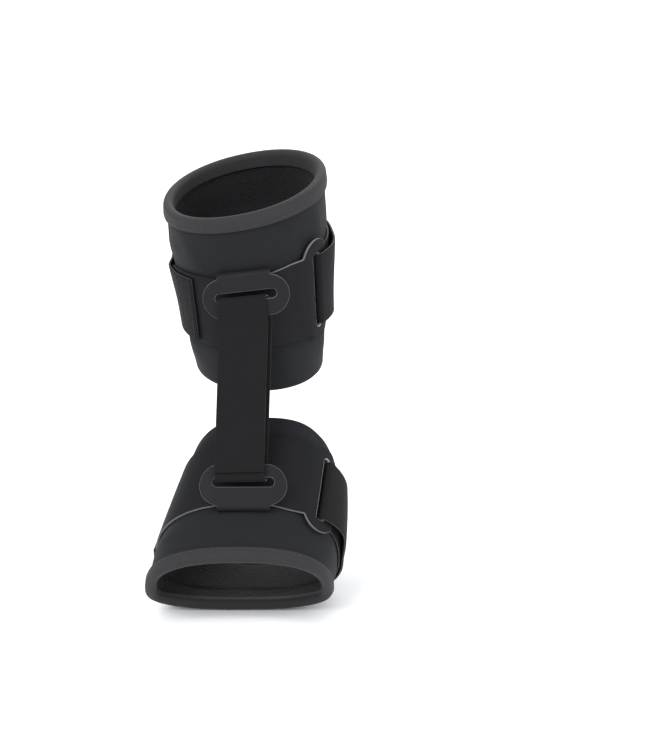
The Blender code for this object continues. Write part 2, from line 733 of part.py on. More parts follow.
def main():
    clear_scene()
    splint = bpy.data.objects.new("splint", None)
    splint.location = (0, 0, -SEAT_HEIGHT)
    bpy.context.scene.collection.objects.link(splint)

    cloth = material("brushed_cloth", (0.030, 0.031, 0.036), 0.92)
    laminate = material("smooth_laminate", (0.035, 0.034, 0.038), 0.62)
    elastic = material("ribbed_elastic", (0.042, 0.042, 0.044), 0.80)
    webbing = material("strap_webbing", (0.022, 0.022, 0.024), 0.85)

    calf = Cuff(calf_section)
    cuff_wall("calf_cuff", calf, False, cloth, splint)
    binding("calf_top_binding", calf, False, elastic, splint)
    calf_frame = TabFrame(calf, CALF_FOLD, -1, CALF_TAB_PLACE, CALF_TAB_SLOT, CALF_TAB_TILT, CALF_TAB_RISE)
    wing("calf_wing", calf_frame, CALF_WING_REACH, laminate, splint)
    tab("calf_tab", calf_frame, laminate, splint)
    calf_path = side_strap_path(
        calf_frame, CALF_STRAP_START, CALF_WING_REACH, CALF_STRAP_FREE_END, CALF_STRAP_BULGE)
    side_strap("calf_strap", calf_frame, calf_path, CALF_STRAP_COLUMNS, webbing, splint)

    foot = Cuff(foot_section)
    cuff_wall("foot_cuff", foot, True, cloth, splint)
    binding("foot_toe_binding", foot, True, elastic, splint)
    foot_frame = TabFrame(foot, FOOT_FOLD, 1, FOOT_TAB_PLACE, FOOT_TAB_SLOT, FOOT_TAB_TILT, FOOT_TAB_RISE)
    wing("foot_wing", foot_frame, FOOT_WING_REACH, laminate, splint)
    tab("foot_tab", foot_frame, laminate, splint)
    foot_path = side_strap_path(
        foot_frame, FOOT_STRAP_START, FOOT_WING_REACH, FOOT_STRAP_FREE_END, FOOT_STRAP_BULGE)
    side_strap("foot_strap", foot_frame, foot_path, FOOT_STRAP_COLUMNS, webbing, splint)

    front_strap("front_strap", calf_frame, foot_frame, webbing, splint)


if __name__ == "__main__":
    main()
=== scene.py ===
import math

import bmesh
import bpy
import numpy as np
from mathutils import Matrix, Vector
from mathutils.geometry import delaunay_2d_cdt


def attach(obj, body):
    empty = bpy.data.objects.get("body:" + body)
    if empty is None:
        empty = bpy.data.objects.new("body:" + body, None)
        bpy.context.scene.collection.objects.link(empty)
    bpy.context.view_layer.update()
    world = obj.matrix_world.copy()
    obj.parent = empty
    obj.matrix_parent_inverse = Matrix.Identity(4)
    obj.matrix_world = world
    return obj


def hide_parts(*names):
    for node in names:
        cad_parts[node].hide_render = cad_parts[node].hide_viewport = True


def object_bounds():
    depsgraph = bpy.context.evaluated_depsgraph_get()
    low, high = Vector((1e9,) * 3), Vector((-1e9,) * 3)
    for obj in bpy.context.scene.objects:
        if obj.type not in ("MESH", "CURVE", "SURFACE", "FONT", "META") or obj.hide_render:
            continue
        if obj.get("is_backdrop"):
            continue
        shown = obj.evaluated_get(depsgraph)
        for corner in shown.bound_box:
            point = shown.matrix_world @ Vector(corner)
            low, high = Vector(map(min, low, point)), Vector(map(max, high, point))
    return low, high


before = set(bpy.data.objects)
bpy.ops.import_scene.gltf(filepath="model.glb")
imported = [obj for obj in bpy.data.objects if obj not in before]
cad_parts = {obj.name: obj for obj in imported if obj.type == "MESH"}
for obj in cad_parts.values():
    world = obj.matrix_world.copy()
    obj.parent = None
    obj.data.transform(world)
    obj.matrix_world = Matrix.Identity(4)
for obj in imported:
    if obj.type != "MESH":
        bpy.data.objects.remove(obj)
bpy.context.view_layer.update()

bl_info = {
    "name": "Night Splint",
    "version": (1, 0, 0),
    "blender": (4, 5, 0),
    "location": "3D View > Sidebar > Splint",
    "description": "Makes the cloth pieces of a worn night splint, their finishes and a plain studio",
    "category": "Add Mesh",
}

MM = 0.001

# The origin above the underside of the foot cuff, and the cloth's layers
SEAT_HEIGHT = 162 * MM
CUFF_WALL = 3.0 * MM
BINDING_WALL = 1.0 * MM
BINDING_WIDTH = 8.0 * MM
WING_WALL = 1.6 * MM
STRAP_WALL = 1.5 * MM
CLEARANCE = 0.4 * MM
LAMINATE_WALL = 1.3 * MM
WEBBING_WALL = 1.3 * MM

# Calf cuff, over its outer face
CALF_WIDTH = 85.4 * MM
CALF_DEPTH = 92 * MM
CALF_LENGTH = 101 * MM
CALF_HEM_HEIGHT = 117 * MM
CALF_LEAN = -0.076
CALF_RIM_SLOPE = 0.20
CALF_FRONT_DROP = 0.09

# Foot cuff, over its outer face
FOOT_ANKLE_WIDTH = 80 * MM
FOOT_TOE_WIDTH = 97.4 * MM
FOOT_ANKLE_HEIGHT = 101 * MM
FOOT_TOE_HEIGHT = 45 * MM
FOOT_ANKLE_REACH = 42 * MM
FOOT_TOE_REACH = 107 * MM
FOOT_HEEL_REACH = 12 * MM
FOOT_BALL_REACH = 68 * MM
FOOT_ANKLE_SIDE = 5.5 * MM
FOOT_TOE_SIDE = -7.3 * MM

# Overlays, laid flat: across from the front line, and out from the fold line
WING_HEIGHT = 41 * MM
WING_RIGHT_LIFT = 2.2 * MM
WING_LEFT_LIFT = 0.8 * MM
WING_CORNER = 5 * MM
LUG_RADIUS = 9 * MM
SLOT_PLACE = 39.3 * MM
SLOT_WIDTH = 5.0 * MM
SLOT_OUTER = 2.8 * MM
SEWN_OUTER = -0.5 * MM
STRAP_SLOT = 41 * MM
CALF_FOLD = 34 * MM
CALF_WING_REACH = 56 * MM
FOOT_FOLD = 53 * MM
FOOT_WING_REACH = 88 * MM

# Tabs, measured from their fold
TAB_WIDTH = 46 * MM
TAB_LENGTH = 22 * MM
TAB_NECK = 28 * MM
TAB_TAIL = 1.2 * MM
TAB_SLOT_HEIGHT = 5 * MM
TAB_SLOT_WIDTH = 33 * MM
FOLD_RADIUS = 1.8 * MM
LOBE_DROOP = 30 * MM
CALF_TAB_PLACE = -1.6 * MM
CALF_TAB_SLOT = 8 * MM
CALF_TAB_TILT = 0.0
CALF_TAB_RISE = 12.0
FOOT_TAB_PLACE = -1.4 * MM
FOOT_TAB_SLOT = 10 * MM
FOOT_TAB_TILT = 0.0
FOOT_TAB_RISE = 24.0

# Straps
STRAP_WIDTH = 38.6 * MM
CALF_STRAP_START = 31 * MM
CALF_STRAP_FREE_END = 96 * MM
CALF_STRAP_BULGE = 1.0 * MM
FOOT_STRAP_START = 72 * MM
FOOT_STRAP_FREE_END = 112 * MM
FOOT_STRAP_BULGE = 1.6 * MM
BULGE_RUN = 34 * MM
BAR_EDGE_ROOM = 0.1 * MM
FRONT_STRAP_WIDTH = 26 * MM
STRAP_TAIL = 34 * MM
FREE_END_SETBACK = 2.5 * MM
SLOT_EDGE_ROOM = 1.0 * MM
UPPER_FRONT_SHIFT = -3.0 * MM
UPPER_BACK_SHIFT = -1.1 * MM
LOWER_FRONT_SHIFT = -1.9 * MM
LOWER_BACK_SHIFT = 0.0 * MM

# Middles of the layers, out from a cuff's outer face
WING_OFF = CLEARANCE + WING_WALL / 2
STRAP_OFF = CLEARANCE + STRAP_WALL / 2
BAR_OFF = STRAP_OFF + STRAP_WALL / 2 + CLEARANCE + WING_WALL / 2
STRAP_OVER_WING = WING_OFF + WING_WALL / 2 + CLEARANCE + STRAP_WALL / 2
STRAP_OVER_BAR = BAR_OFF + WING_WALL / 2 + CLEARANCE + STRAP_WALL / 2
STRAP_OVER_STRAP = STRAP_OFF + STRAP_WALL + CLEARANCE
STRAP_OFF_BAR = WING_WALL / 2 + CLEARANCE + STRAP_WALL / 2

# Fineness
DENSE_STEPS = 1440
GRID_ALONG = 120
GRID_ROUND = 720
ROUND_STEPS = 260
ALONG_STEPS = 84
SHEET_PITCH = 1.7 * MM
TAB_PITCH = 1.3 * MM
STRAP_PITCH = 1.6 * MM
STRAP_COLUMNS = 22
FRONT_COLUMNS = 16
TURN_STEPS = 25
CURL_STEPS = 18
ARC_STEPS = 28
EDGE_ROUND = 0.32 * MM
CUT_ROUND = 0.18 * MM

# Shares of the calf cuff: along, width, depth, and how far its middle lies back
CALF_COLUMNS = ("along", "width", "depth", "back")
CALF_SECTIONS = (
    (0.00, 1.000, 1.00, 0.045),
    (0.30, 0.972, 0.97, 0.040),
    (0.60, 0.885, 0.91, 0.028),
    (0.85, 0.845, 0.87, 0.015),
    (1.00, 0.810, 0.84, 0.010),
)

# Shares of the foot cuff between its ankle edge and its toe edge, and the section's form
FOOT_COLUMNS = ("along", "width", "height", "reach", "widest", "upper", "lower")
FOOT_SECTIONS = (
    (0.00, 0.00, 0.00, 0.00, 0.475, 2.8, 2.4),
    (0.35, 0.62, 0.37, 0.35, 0.43, 2.6, 2.5),
    (0.70, 0.97, 0.72, 0.70, 0.38, 2.5, 2.6),
    (1.00, 1.00, 1.00, 1.00, 0.33, 2.4, 2.6),
)

# Soft folds of the cloth: place as turn and along (mm), reach each way, lean, and height (mm)
FOLD_COLUMNS = ("turn", "along", "round_reach", "along_reach", "lean", "height")
CALF_FOLDS = (
    (-0.215, 15.0, 4.0, 5.0, 0.6, -1.0),
    (-0.190, 22.0, 9.0, 4.0, -0.4, 0.7),
    (-0.120, 20.0, 6.0, 9.0, 0.5, 0.55),
    (0.085, 22.0, 5.0, 9.0, -0.4, 0.5),
    (0.175, 20.0, 6.0, 7.0, 0.3, 0.7),
    (0.120, 52.0, 2.2, 16.0, 0.05, -0.9),
    (-0.170, 84.0, 7.0, 6.0, 0.3, 0.7),
    (-0.060, 88.0, 8.0, 7.0, -0.4, -0.45),
    (0.070, 90.0, 7.0, 6.0, 0.4, 0.5),
    (0.200, 86.0, 6.0, 6.0, 0.2, 0.7),
    (0.450, 20.0, 9.0, 8.0, 0.4, 0.6),
    (-0.420, 88.0, 9.0, 7.0, -0.3, 0.6),
)
FOOT_FOLDS = (
    (-0.200, 8.0, 7.0, 4.0, 0.4, 0.7),
    (0.110, 6.0, 5.0, 7.0, 0.2, -0.5),
    (0.240, 8.0, 6.0, 5.0, 0.3, 0.6),
    (0.118, 30.0, 1.6, 18.0, 0.02, -0.55),
    (-0.160, 63.0, 10.0, 4.0, 0.2, 0.6),
    (-0.050, 66.0, 12.0, 5.0, -0.15, -0.4),
    (0.100, 64.0, 8.0, 4.5, 0.3, 0.5),
    (0.195, 66.0, 6.0, 6.0, -0.3, 0.6),
    (0.420, 66.0, 9.0, 6.0, 0.3, 0.4),
)


def smooth(rows, names, column, along):
    places = [row[0] for row in rows]
    values = [row[names.index(column)] for row in rows]
    slopes = np.gradient(values, places)
    index = min(max(int(np.searchsorted(places, along)) - 1, 0), len(rows) - 2)
    span = places[index + 1] - places[index]
    share = min(max((along - places[index]) / span, 0.0), 1.0)
    start = (1 + 2 * share) * (1 - share) ** 2 * values[index]
    end = share ** 2 * (3 - 2 * share) * values[index + 1]
    rise = share * (1 - share) ** 2 * span * slopes[index]
    fall = share ** 2 * (share - 1) * span * slopes[index + 1]
    return start + end + rise + fall


def mix(first, last, share):
    return first + (last - first) * share


def ease(value, start, end):
    share = np.clip((value - start) / (end - start), 0.0, 1.0)
    return share * share * (3 - 2 * share)


def oval(centre, side, half_width, front, front_reach, front_power, back_reach, back_power):
    """A closed oval from its back round to its back again, with its front in the middle."""
    angle = np.linspace(-math.pi, math.pi, DENSE_STEPS + 1)
    across, ahead = np.sin(angle), np.cos(angle)
    power = np.where(ahead >= 0, front_power, back_power)
    reach = np.where(ahead >= 0, front_reach, back_reach)
    across = half_width * np.sign(across) * np.abs(across) ** (2 / power)
    ahead = reach * np.sign(ahead) * np.abs(ahead) ** (2 / power)
    return centre + np.outer(across, side) + np.outer(ahead, front)


def calf_section(along):
    def read(column):
        return smooth(CALF_SECTIONS, CALF_COLUMNS, column, along)
    height = CALF_HEM_HEIGHT + CALF_LENGTH * (1 - along)
    centre = np.array([CALF_LEAN * (height - SEAT_HEIGHT), read("back") * CALF_DEPTH, height])
    side = np.array([1.0, 0.0, CALF_RIM_SLOPE * (1 - along)])
    front = np.array([0.0, -1.0, -CALF_FRONT_DROP])
    depth = read("depth") * CALF_DEPTH / 2
    return oval(centre, side, read("width") * CALF_WIDTH / 2, front, depth, 2.1, depth, 2.1)


def foot_section(along):
    def read(column):
        return smooth(FOOT_SECTIONS, FOOT_COLUMNS, column, along)
    side = mix(FOOT_ANKLE_SIDE, FOOT_TOE_SIDE, along)
    reach = read("reach")
    height = mix(FOOT_ANKLE_HEIGHT, FOOT_TOE_HEIGHT, read("height"))
    crest = np.array([side, -mix(FOOT_ANKLE_REACH, FOOT_TOE_REACH, reach), height])
    sole = np.array([side, -mix(FOOT_HEEL_REACH, FOOT_BALL_REACH, reach), 0.0])
    widest = read("widest")
    tall = np.linalg.norm(crest - sole)
    width = mix(FOOT_ANKLE_WIDTH, FOOT_TOE_WIDTH, read("width")) / 2
    return oval(
        mix(sole, crest, widest), np.array([1.0, 0.0, 0.0]), width, (crest - sole) / tall,
        tall * (1 - widest), read("upper"), tall * widest, read("lower"))


class Cuff:
    """The outer face of a cuff with its soft folds, read by girth, along and off."""

    def __init__(self, section, folds, band, depth):
        shares = np.linspace(0, 1, GRID_ALONG + 1)
        rows, girths = [], []
        for share in shares:
            points = section(share)
            points[:, 2] -= SEAT_HEIGHT
            run = np.concatenate([[0], np.cumsum(np.linalg.norm(np.diff(points, axis=0), axis=1))])
            even = np.linspace(0, run[-1], GRID_ROUND + 1)
            rows.append(np.column_stack([np.interp(even, run, points[:, axis]) for axis in range(3)]))
            girths.append(run[-1])
        self.shares = shares
        self.girths = np.array(girths)
        self.points = np.array(rows)
        front = self.points[::GRID_ALONG // 20, GRID_ROUND // 2]
        self.length = float(np.linalg.norm(np.diff(front, axis=0), axis=1).sum())
        self.normals = self.facing()
        self.points = self.points + self.normals * self.relief(folds, band, depth)[:, :, None]
        self.normals = self.facing()

    def facing(self):
        down = np.gradient(self.points, axis=0)
        around = self.points[:, :-1]
        across = np.roll(around, -1, axis=1) - np.roll(around, 1, axis=1)
        across = np.concatenate([across, across[:, :1]], axis=1)
        out = np.cross(down, across)
        return out / np.linalg.norm(out, axis=2)[:, :, None]

    def relief(self, folds, band, depth):
        """How far the cloth stands out: puffed beside the straps, with a few soft folds."""
        along = (self.shares * self.length)[:, None]
        turn = np.linspace(-0.5, 0.5, GRID_ROUND + 1)[None, :]
        girth = self.girths[:, None]
        found = np.zeros((GRID_ALONG + 1, GRID_ROUND + 1))
        away = np.maximum(band[0] - along, along - band[1])
        puff = ease(away, 0.5 * MM, 6 * MM) * (1 - 0.6 * ease(away, 7 * MM, 22 * MM))
        ends = ease(np.minimum(along, self.length - along), 0.0, 12 * MM)
        calm = mix(0.25, 1.0, ease(away, -3 * MM, 5 * MM))
        wave = 0.5 + 0.5 * np.sin(turn * 2 * math.pi * 5 + 1.3) * np.sin(turn * 2 * math.pi * 3 + along * 60)
        found = found + puff * ends * (0.35 + 0.65 * wave)
        for place, row, round_reach, along_reach, lean, height in folds:
            step = (turn - place + 0.5) % 1 - 0.5
            sideways = step * girth / MM - lean * (along / MM - row)
            lengthways = along / MM - row
            found = found + height * calm * np.exp(-(sideways / round_reach) ** 2 - (lengthways / along_reach) ** 2)
        return found * depth

    def at_turn(self, turn, along, off=0.0):
        turn, along, off = np.broadcast_arrays(
            np.asarray(turn, float), np.asarray(along, float), np.asarray(off, float))
        row = np.clip(along / self.length, 0, 1) * GRID_ALONG
        column = ((turn + 0.5) % 1) * GRID_ROUND
        r0 = np.minimum(row.astype(int), GRID_ALONG - 1)
        c0 = np.minimum(column.astype(int), GRID_ROUND - 1)
        fr = (row - r0)[..., None]
        fc = (column - c0)[..., None]

        def read(grid):
            top = grid[r0, c0] * (1 - fc) + grid[r0, c0 + 1] * fc
            low = grid[r0 + 1, c0] * (1 - fc) + grid[r0 + 1, c0 + 1] * fc
            return top * (1 - fr) + low * fr
        out = read(self.normals)
        out = out / np.linalg.norm(out, axis=-1)[..., None]
        return read(self.points) + out * off[..., None]

    def girth(self, along):
        return np.interp(np.asarray(along) / self.length, self.shares, self.girths)

    def at(self, girth, along, off=0.0):
        return self.at_turn(np.asarray(girth) / self.girth(along), along, off)


class TabFrame:
    """Where a tab folds over; outward is -1 where the fold faces the cuff's first edge."""

    def __init__(self, cuff, fold_along, outward, place, slot, tilt, rise):
        self.cuff = cuff
        self.fold_along = fold_along
        self.outward = outward
        self.place = place
        self.slot = slot
        self.rise = math.radians(rise)
        self.origin = cuff.at(place, fold_along)
        self.out = cuff.at(place, fold_along, 1.0) - self.origin
        round_step = (cuff.at(place + MM, fold_along) - self.origin) / MM
        along_step = (cuff.at(place, fold_along + MM) - self.origin) / MM
        across = round_step - self.out * round_step.dot(self.out)
        across /= np.linalg.norm(across)
        body = np.cross(self.out, across)
        body *= -outward * math.copysign(1.0, along_step.dot(body))
        turn = math.radians(tilt)
        self.body = body * math.cos(turn) - across * math.sin(turn)
        self.across = across * math.cos(turn) + body * math.sin(turn)
        steps = np.linalg.lstsq(np.column_stack([round_step, along_step]), self.across, rcond=None)[0]
        self.slope = outward * float(steps[1] / steps[0])
        self.curl = (-CLEARANCE - TAB_TAIL, WING_OFF + FOLD_RADIUS)
        self.plate_run = TAB_TAIL + FOLD_RADIUS * (math.pi - self.rise)

    def profile(self, run):
        if run < TAB_TAIL:
            return -CLEARANCE - run, WING_OFF
        if run < self.plate_run:
            angle = (run - TAB_TAIL) / FOLD_RADIUS
            return self.curl[0] - FOLD_RADIUS * math.sin(angle), self.curl[1] - FOLD_RADIUS * math.cos(angle)
        return self.plate(run - self.plate_run, 0.0)

    def plate(self, reach, proud):
        towards, out = math.cos(self.rise), math.sin(self.rise)
        start = (self.curl[0] - FOLD_RADIUS * out, self.curl[1] + FOLD_RADIUS * towards)
        return start[0] + reach * towards - proud * out, start[1] + reach * out + proud * towards

    def world(self, across, profile, drop=0.0):
        return self.origin + self.across * across + self.body * profile[0] + self.out * (profile[1] - drop)

    def sheet_point(self, across, run):
        follow = -float((self.cuff.at(self.place + across, self.fold_along) - self.origin).dot(self.out))
        flatten = float(ease(run, TAB_TAIL, self.plate_run))
        beyond = max(abs(across) - TAB_NECK / 2, 0.0)
        droop = beyond ** 2 / (2 * LOBE_DROOP)
        return self.world(across, self.profile(run), mix(follow, droop, flatten))


def arc(centre, radius, start, end, steps):
    return [
        (centre[0] + radius * math.cos(math.radians(angle)), centre[1] + radius * math.sin(math.radians(angle)))
        for angle in np.linspace(start, end, steps)
    ]


def curve(points, pitch):
    """Points on a smooth curve through a few chosen ones, about a pitch apart."""
    points = np.array(points)
    run = np.concatenate([[0], np.cumsum(np.linalg.norm(np.diff(points, axis=0), axis=1))])
    slopes = np.gradient(points, run, axis=0)
    found = []
    for place in np.linspace(0, run[-1], max(2, round(run[-1] / pitch) + 1)):
        index = min(int(np.searchsorted(run, place, side="right")) - 1, len(points) - 2)
        span = run[index + 1] - run[index]
        share = (place - run[index]) / span
        found.append(
            (1 + 2 * share) * (1 - share) ** 2 * points[index]
            + share ** 2 * (3 - 2 * share) * points[index + 1]
            + share * (1 - share) ** 2 * span * slopes[index]
            + share ** 2 * (share - 1) * span * slopes[index + 1])
    return [tuple(point) for point in found]


def inside(points, outlines, margin):
    """True where a point lies in the outline, out of its holes, and a margin from every edge."""
    points = np.asarray(points, float).reshape(-1, 2)
    crossings = np.zeros(len(points), int)
    clear = np.ones(len(points), bool)
    x, y = points[:, 0], points[:, 1]
    for outline in outlines:
        for (x1, y1), (x2, y2) in zip(outline, outline[1:] + outline[:1]):
            span = max((x2 - x1) ** 2 + (y2 - y1) ** 2, 1e-16)
            share = np.clip(((x - x1) * (x2 - x1) + (y - y1) * (y2 - y1)) / span, 0, 1)
            clear &= np.hypot(x - mix(x1, x2, share), y - mix(y1, y2, share)) >= margin
            if y1 != y2:
                hit = ((y1 > y) != (y2 > y)) & (x < x1 + (y - y1) * (x2 - x1) / (y2 - y1))
                crossings += hit
    return clear & (crossings % 2 == 1)


def filled(outlines, inner):
    points, edges = [], []
    for outline in outlines:
        first = len(points)
        points += outline
        edges += [(first + i, first + (i + 1) % len(outline)) for i in range(len(outline))]
    points += inner
    found = delaunay_2d_cdt([Vector(point) for point in points], edges, [], 1, 1e-8)
    flat = [tuple(point) for point in found[0]]
    middles = [tuple(sum(flat[corner][axis] for corner in face) / 3 for axis in (0, 1)) for face in found[2]]
    keep = inside(middles, outlines, 0.0)
    return flat, [tuple(face) for face, kept in zip(found[2], keep) if kept]


def slot_outline(centre, length, height, upright):
    reach, radius = (length - height) / 2, height / 2
    if upright:
        top = arc((centre[0], centre[1] + reach), radius, 0, 180, 12)
        low = arc((centre[0], centre[1] - reach), radius, 180, 360, 12)
        steps = round(2 * reach / SHEET_PITCH)
        down = [centre[1] + reach * (1 - 2 * i / steps) for i in range(1, steps)]
        left = [(centre[0] - radius, place) for place in down]
        right = [(centre[0] + radius, place) for place in reversed(down)]
        return top + left + low + right
    right = arc((centre[0] + reach, centre[1]), radius, -90, 90, 12)
    left = arc((centre[0] - reach, centre[1]), radius, 90, 270, 12)
    steps = round(2 * reach / TAB_PITCH)
    places = [centre[0] + reach * (1 - 2 * i / steps) for i in range(1, steps)]
    top = [(place, centre[1] + radius) for place in places]
    low = [(place, centre[1] - radius) for place in reversed(places)]
    return right + top + left + low


# Meshes

def add_piece(name, points, faces, uvs, slots, finishes, round_edge=0.0, round_slot=0):
    """A piece from points and faces; uvs hold one pair a face corner, slots one finish a face."""
    mesh = bpy.data.meshes.new(name)
    mesh.from_pydata([tuple(point) for point in points], [], faces)
    layer = mesh.uv_layers.new(name="flat")
    layer.data.foreach_set("uv", np.asarray(uvs, float).ravel())
    mesh.polygons.foreach_set("material_index", np.asarray(slots, np.int32))
    for finish in finishes:
        mesh.materials.append(finish)
    shape = bmesh.new()
    shape.from_mesh(mesh)
    bmesh.ops.recalc_face_normals(shape, faces=shape.faces)
    if shape.calc_volume(signed=True) < 0:
        bmesh.ops.reverse_faces(shape, faces=shape.faces)
    shape.to_mesh(mesh)
    shape.free()
    made = bpy.data.objects.new(name, mesh)
    bpy.context.scene.collection.objects.link(made)
    if round_edge:
        bevel = made.modifiers.new("round_edges", "BEVEL")
        bevel.width = round_edge
        bevel.segments = 2
        bevel.limit_method = "ANGLE"
        bevel.angle_limit = math.radians(50)
        bevel.material = round_slot
        mesh = settled(made)
    mesh.shade_smooth()
    mesh.set_sharp_from_angle(angle=math.radians(55))
    return made


def settled(made):
    """Turns a piece's modifiers into its plain mesh."""
    bpy.context.view_layer.update()
    shown = made.evaluated_get(bpy.context.evaluated_depsgraph_get())
    mesh = bpy.data.meshes.new_from_object(shown)
    mesh.name = made.name
    made.modifiers.clear()
    made.data = mesh
    return mesh


def sheet_piece(name, middle, triangles, flat, wall, finishes, round_edge=EDGE_ROUND, round_slot=0):
    """A solid sheet from its middle surface; its cut edge takes the last finish."""
    middle = np.array(middle)
    faces = np.array(triangles)
    normals = np.zeros_like(middle)
    across = np.cross(middle[faces[:, 1]] - middle[faces[:, 0]], middle[faces[:, 2]] - middle[faces[:, 0]])
    for corner in range(3):
        np.add.at(normals, faces[:, corner], across)
    normals /= np.linalg.norm(normals, axis=1)[:, None]
    count = len(middle)
    points = np.vstack([middle + normals * wall / 2, middle - normals * wall / 2])
    flat = np.array(flat)
    flat = np.vstack([flat, flat])
    made = [tuple(face) for face in triangles]
    made += [(a + count, c + count, b + count) for a, b, c in triangles]
    slots = [0] * len(made)
    edges = {(a, b) for face in triangles for a, b in zip(face, face[1:] + face[:1])}
    rim = [(b, a, a + count, b + count) for a, b in sorted(edges) if (b, a) not in edges]
    slots += [len(finishes) - 1] * len(rim)
    made += rim
    uvs = [flat[corner] for face in made for corner in face]
    return add_piece(name, points, made, uvs, slots, finishes, round_edge, round_slot)


def strip_piece(name, rows, run, width, wall, finishes):
    """A solid strap from an array of rows of points across it."""
    count, size = rows.shape[0], rows.shape[1]
    triangles = []
    for i in range(count - 1):
        for j in range(size - 1):
            corner = i * size + j
            triangles.append((corner, corner + 1, corner + size + 1))
            triangles.append((corner, corner + size + 1, corner + size))
    across = np.linspace(-width / 2, width / 2, size)
    flat = [(place, along) for along in run for place in across]
    return sheet_piece(name, rows.reshape(-1, 3), triangles, flat, wall, finishes)


def ring_piece(name, cuff, profile, slots, finishes, wobble=None):
    """A closed band round a cuff: profile is a loop of (along, off), slots one finish a side."""
    profile = np.array(profile)
    turns = np.arange(ROUND_STEPS) / ROUND_STEPS - 0.5
    along = np.repeat(profile[None, :, 0], ROUND_STEPS, axis=0)
    off = np.repeat(profile[None, :, 1], ROUND_STEPS, axis=0)
    if wobble is not None:
        off = off + wobble(turns[:, None], along)
    points = cuff.at_turn(np.repeat(turns[:, None], len(profile), axis=1), along, off)
    size = len(profile)
    run = np.concatenate([[0], np.cumsum(np.linalg.norm(np.diff(profile, axis=0), axis=1))])
    run = np.append(run, run[-1] + np.linalg.norm(profile[0] - profile[-1]))
    girth = float(cuff.girth(profile[0, 0]))
    faces, uvs, finish = [], [], []
    for i in range(ROUND_STEPS):
        after = (i + 1) % ROUND_STEPS
        for j in range(size):
            beside = (j + 1) % size
            faces.append((i * size + j, i * size + beside, after * size + beside, after * size + j))
            left, right = girth * i / ROUND_STEPS, girth * (i + 1) / ROUND_STEPS
            uvs += [(left, run[j]), (left, run[j + 1]), (right, run[j + 1]), (right, run[j])]
            finish.append(slots[j])
    return add_piece(name, points.reshape(-1, 3), faces, uvs, finish, finishes)


# Finishes

class Wire:
    """A socket that can stand in a sum; each sum adds its Math node."""

    def __init__(self, board, socket):
        self.board = board
        self.socket = socket

    def maths(self, operation, first, second=None):
        values = {0: first} if second is None else {0: first, 1: second}
        return self.board.node("ShaderNodeMath", {"operation": operation}, values)

    def __add__(self, other):
        return self.maths("ADD", self, other)

    def __radd__(self, other):
        return self.maths("ADD", other, self)

    def __sub__(self, other):
        return self.maths("SUBTRACT", self, other)

    def __rsub__(self, other):
        return self.maths("SUBTRACT", other, self)

    def __mul__(self, other):
        return self.maths("MULTIPLY", self, other)

    def __rmul__(self, other):
        return self.maths("MULTIPLY", other, self)

    def __pow__(self, other):
        return self.maths("POWER", self, other)

    def sine(self):
        return self.maths("SINE", self)

    def size(self):
        return self.maths("ABSOLUTE", self)

    def most(self, other):
        return self.maths("MAXIMUM", self, other)


class Board:
    """A material's nodes."""

    def __init__(self, name):
        self.material = bpy.data.materials.new(name)
        self.material.use_nodes = True
        self.tree = self.material.node_tree
        self.shader = self.tree.nodes["Principled BSDF"]

    def node(self, kind, settings=None, sockets=None, output=0):
        made = self.tree.nodes.new(kind)
        for key, value in (settings or {}).items():
            setattr(made, key, value)
        for key, value in (sockets or {}).items():
            self.set(made.inputs[key], value)
        return Wire(self, made.outputs[output])

    def set(self, socket, value):
        if isinstance(value, Wire):
            self.tree.links.new(value.socket, socket)
        else:
            socket.default_value = value

    def place(self):
        return self.node("ShaderNodeTexCoord", output="Object")

    def flat(self):
        """The cloth's own flat lengths, in metres: across and along."""
        parts = self.tree.nodes.new("ShaderNodeSeparateXYZ")
        uv = self.node("ShaderNodeUVMap", {"uv_map": "flat"})
        self.set(parts.inputs[0], uv)
        return Wire(self, parts.outputs[0]), Wire(self, parts.outputs[1])

    def noise(self, size, detail, roughness=0.55):
        """A soft pattern with marks of about the given size, in metres."""
        sockets = {"Vector": self.place(), "Scale": 1 / size, "Detail": detail, "Roughness": roughness}
        return self.node("ShaderNodeTexNoise", {}, sockets)

    def rise(self, value, low, high):
        """0 at low and 1 at high, and level beyond."""
        return self.node("ShaderNodeMapRange", {}, {"Value": value, "From Min": low, "From Max": high})

    def blend(self, first, last, share):
        ends = [end if isinstance(end, Wire) else (*end, 1.0) for end in (first, last)]
        return self.node("ShaderNodeMix", {"data_type": "RGBA"}, {0: share, 6: ends[0], 7: ends[1]}, output=2)

    def finish(self, colour, roughness, height, depth, **constants):
        self.set(self.shader.inputs["Base Color"], colour)
        self.set(self.shader.inputs["Roughness"], roughness)
        bump = self.node("ShaderNodeBump", {}, {"Strength": 1.0, "Distance": depth, "Height": height}, "Normal")
        self.set(self.shader.inputs["Normal"], bump)
        for key, value in constants.items():
            self.shader.inputs[key.replace("_", " ")].default_value = value
        return self.material


def shade(colour, share):
    return tuple(channel * share for channel in colour)


def brushed_cloth(name, colour, depth):
    """Brushed knit over foam: soft fibre mottle on faint vertical knit rows."""
    board = Board(name)
    u, v = board.flat()
    fuzz = board.noise(1.1 * MM, 5.0, 0.7)
    patch = board.noise(14 * MM, 3.0)
    rows = (u * (2 * math.pi / (1.5 * MM)) + board.noise(3 * MM, 1.0) * 2.0).sine() * 0.5 + 0.5
    tone = fuzz * 0.5 + patch * 0.46 + rows * 0.04
    colour = board.blend(shade(colour, 0.62), shade(colour, 1.42), tone)
    return board.finish(
        colour, 0.86 + patch * 0.1, fuzz * 0.92 + rows * 0.08, depth,
        Sheen_Weight=0.05, Sheen_Roughness=0.5, Specular_IOR_Level=0.2)


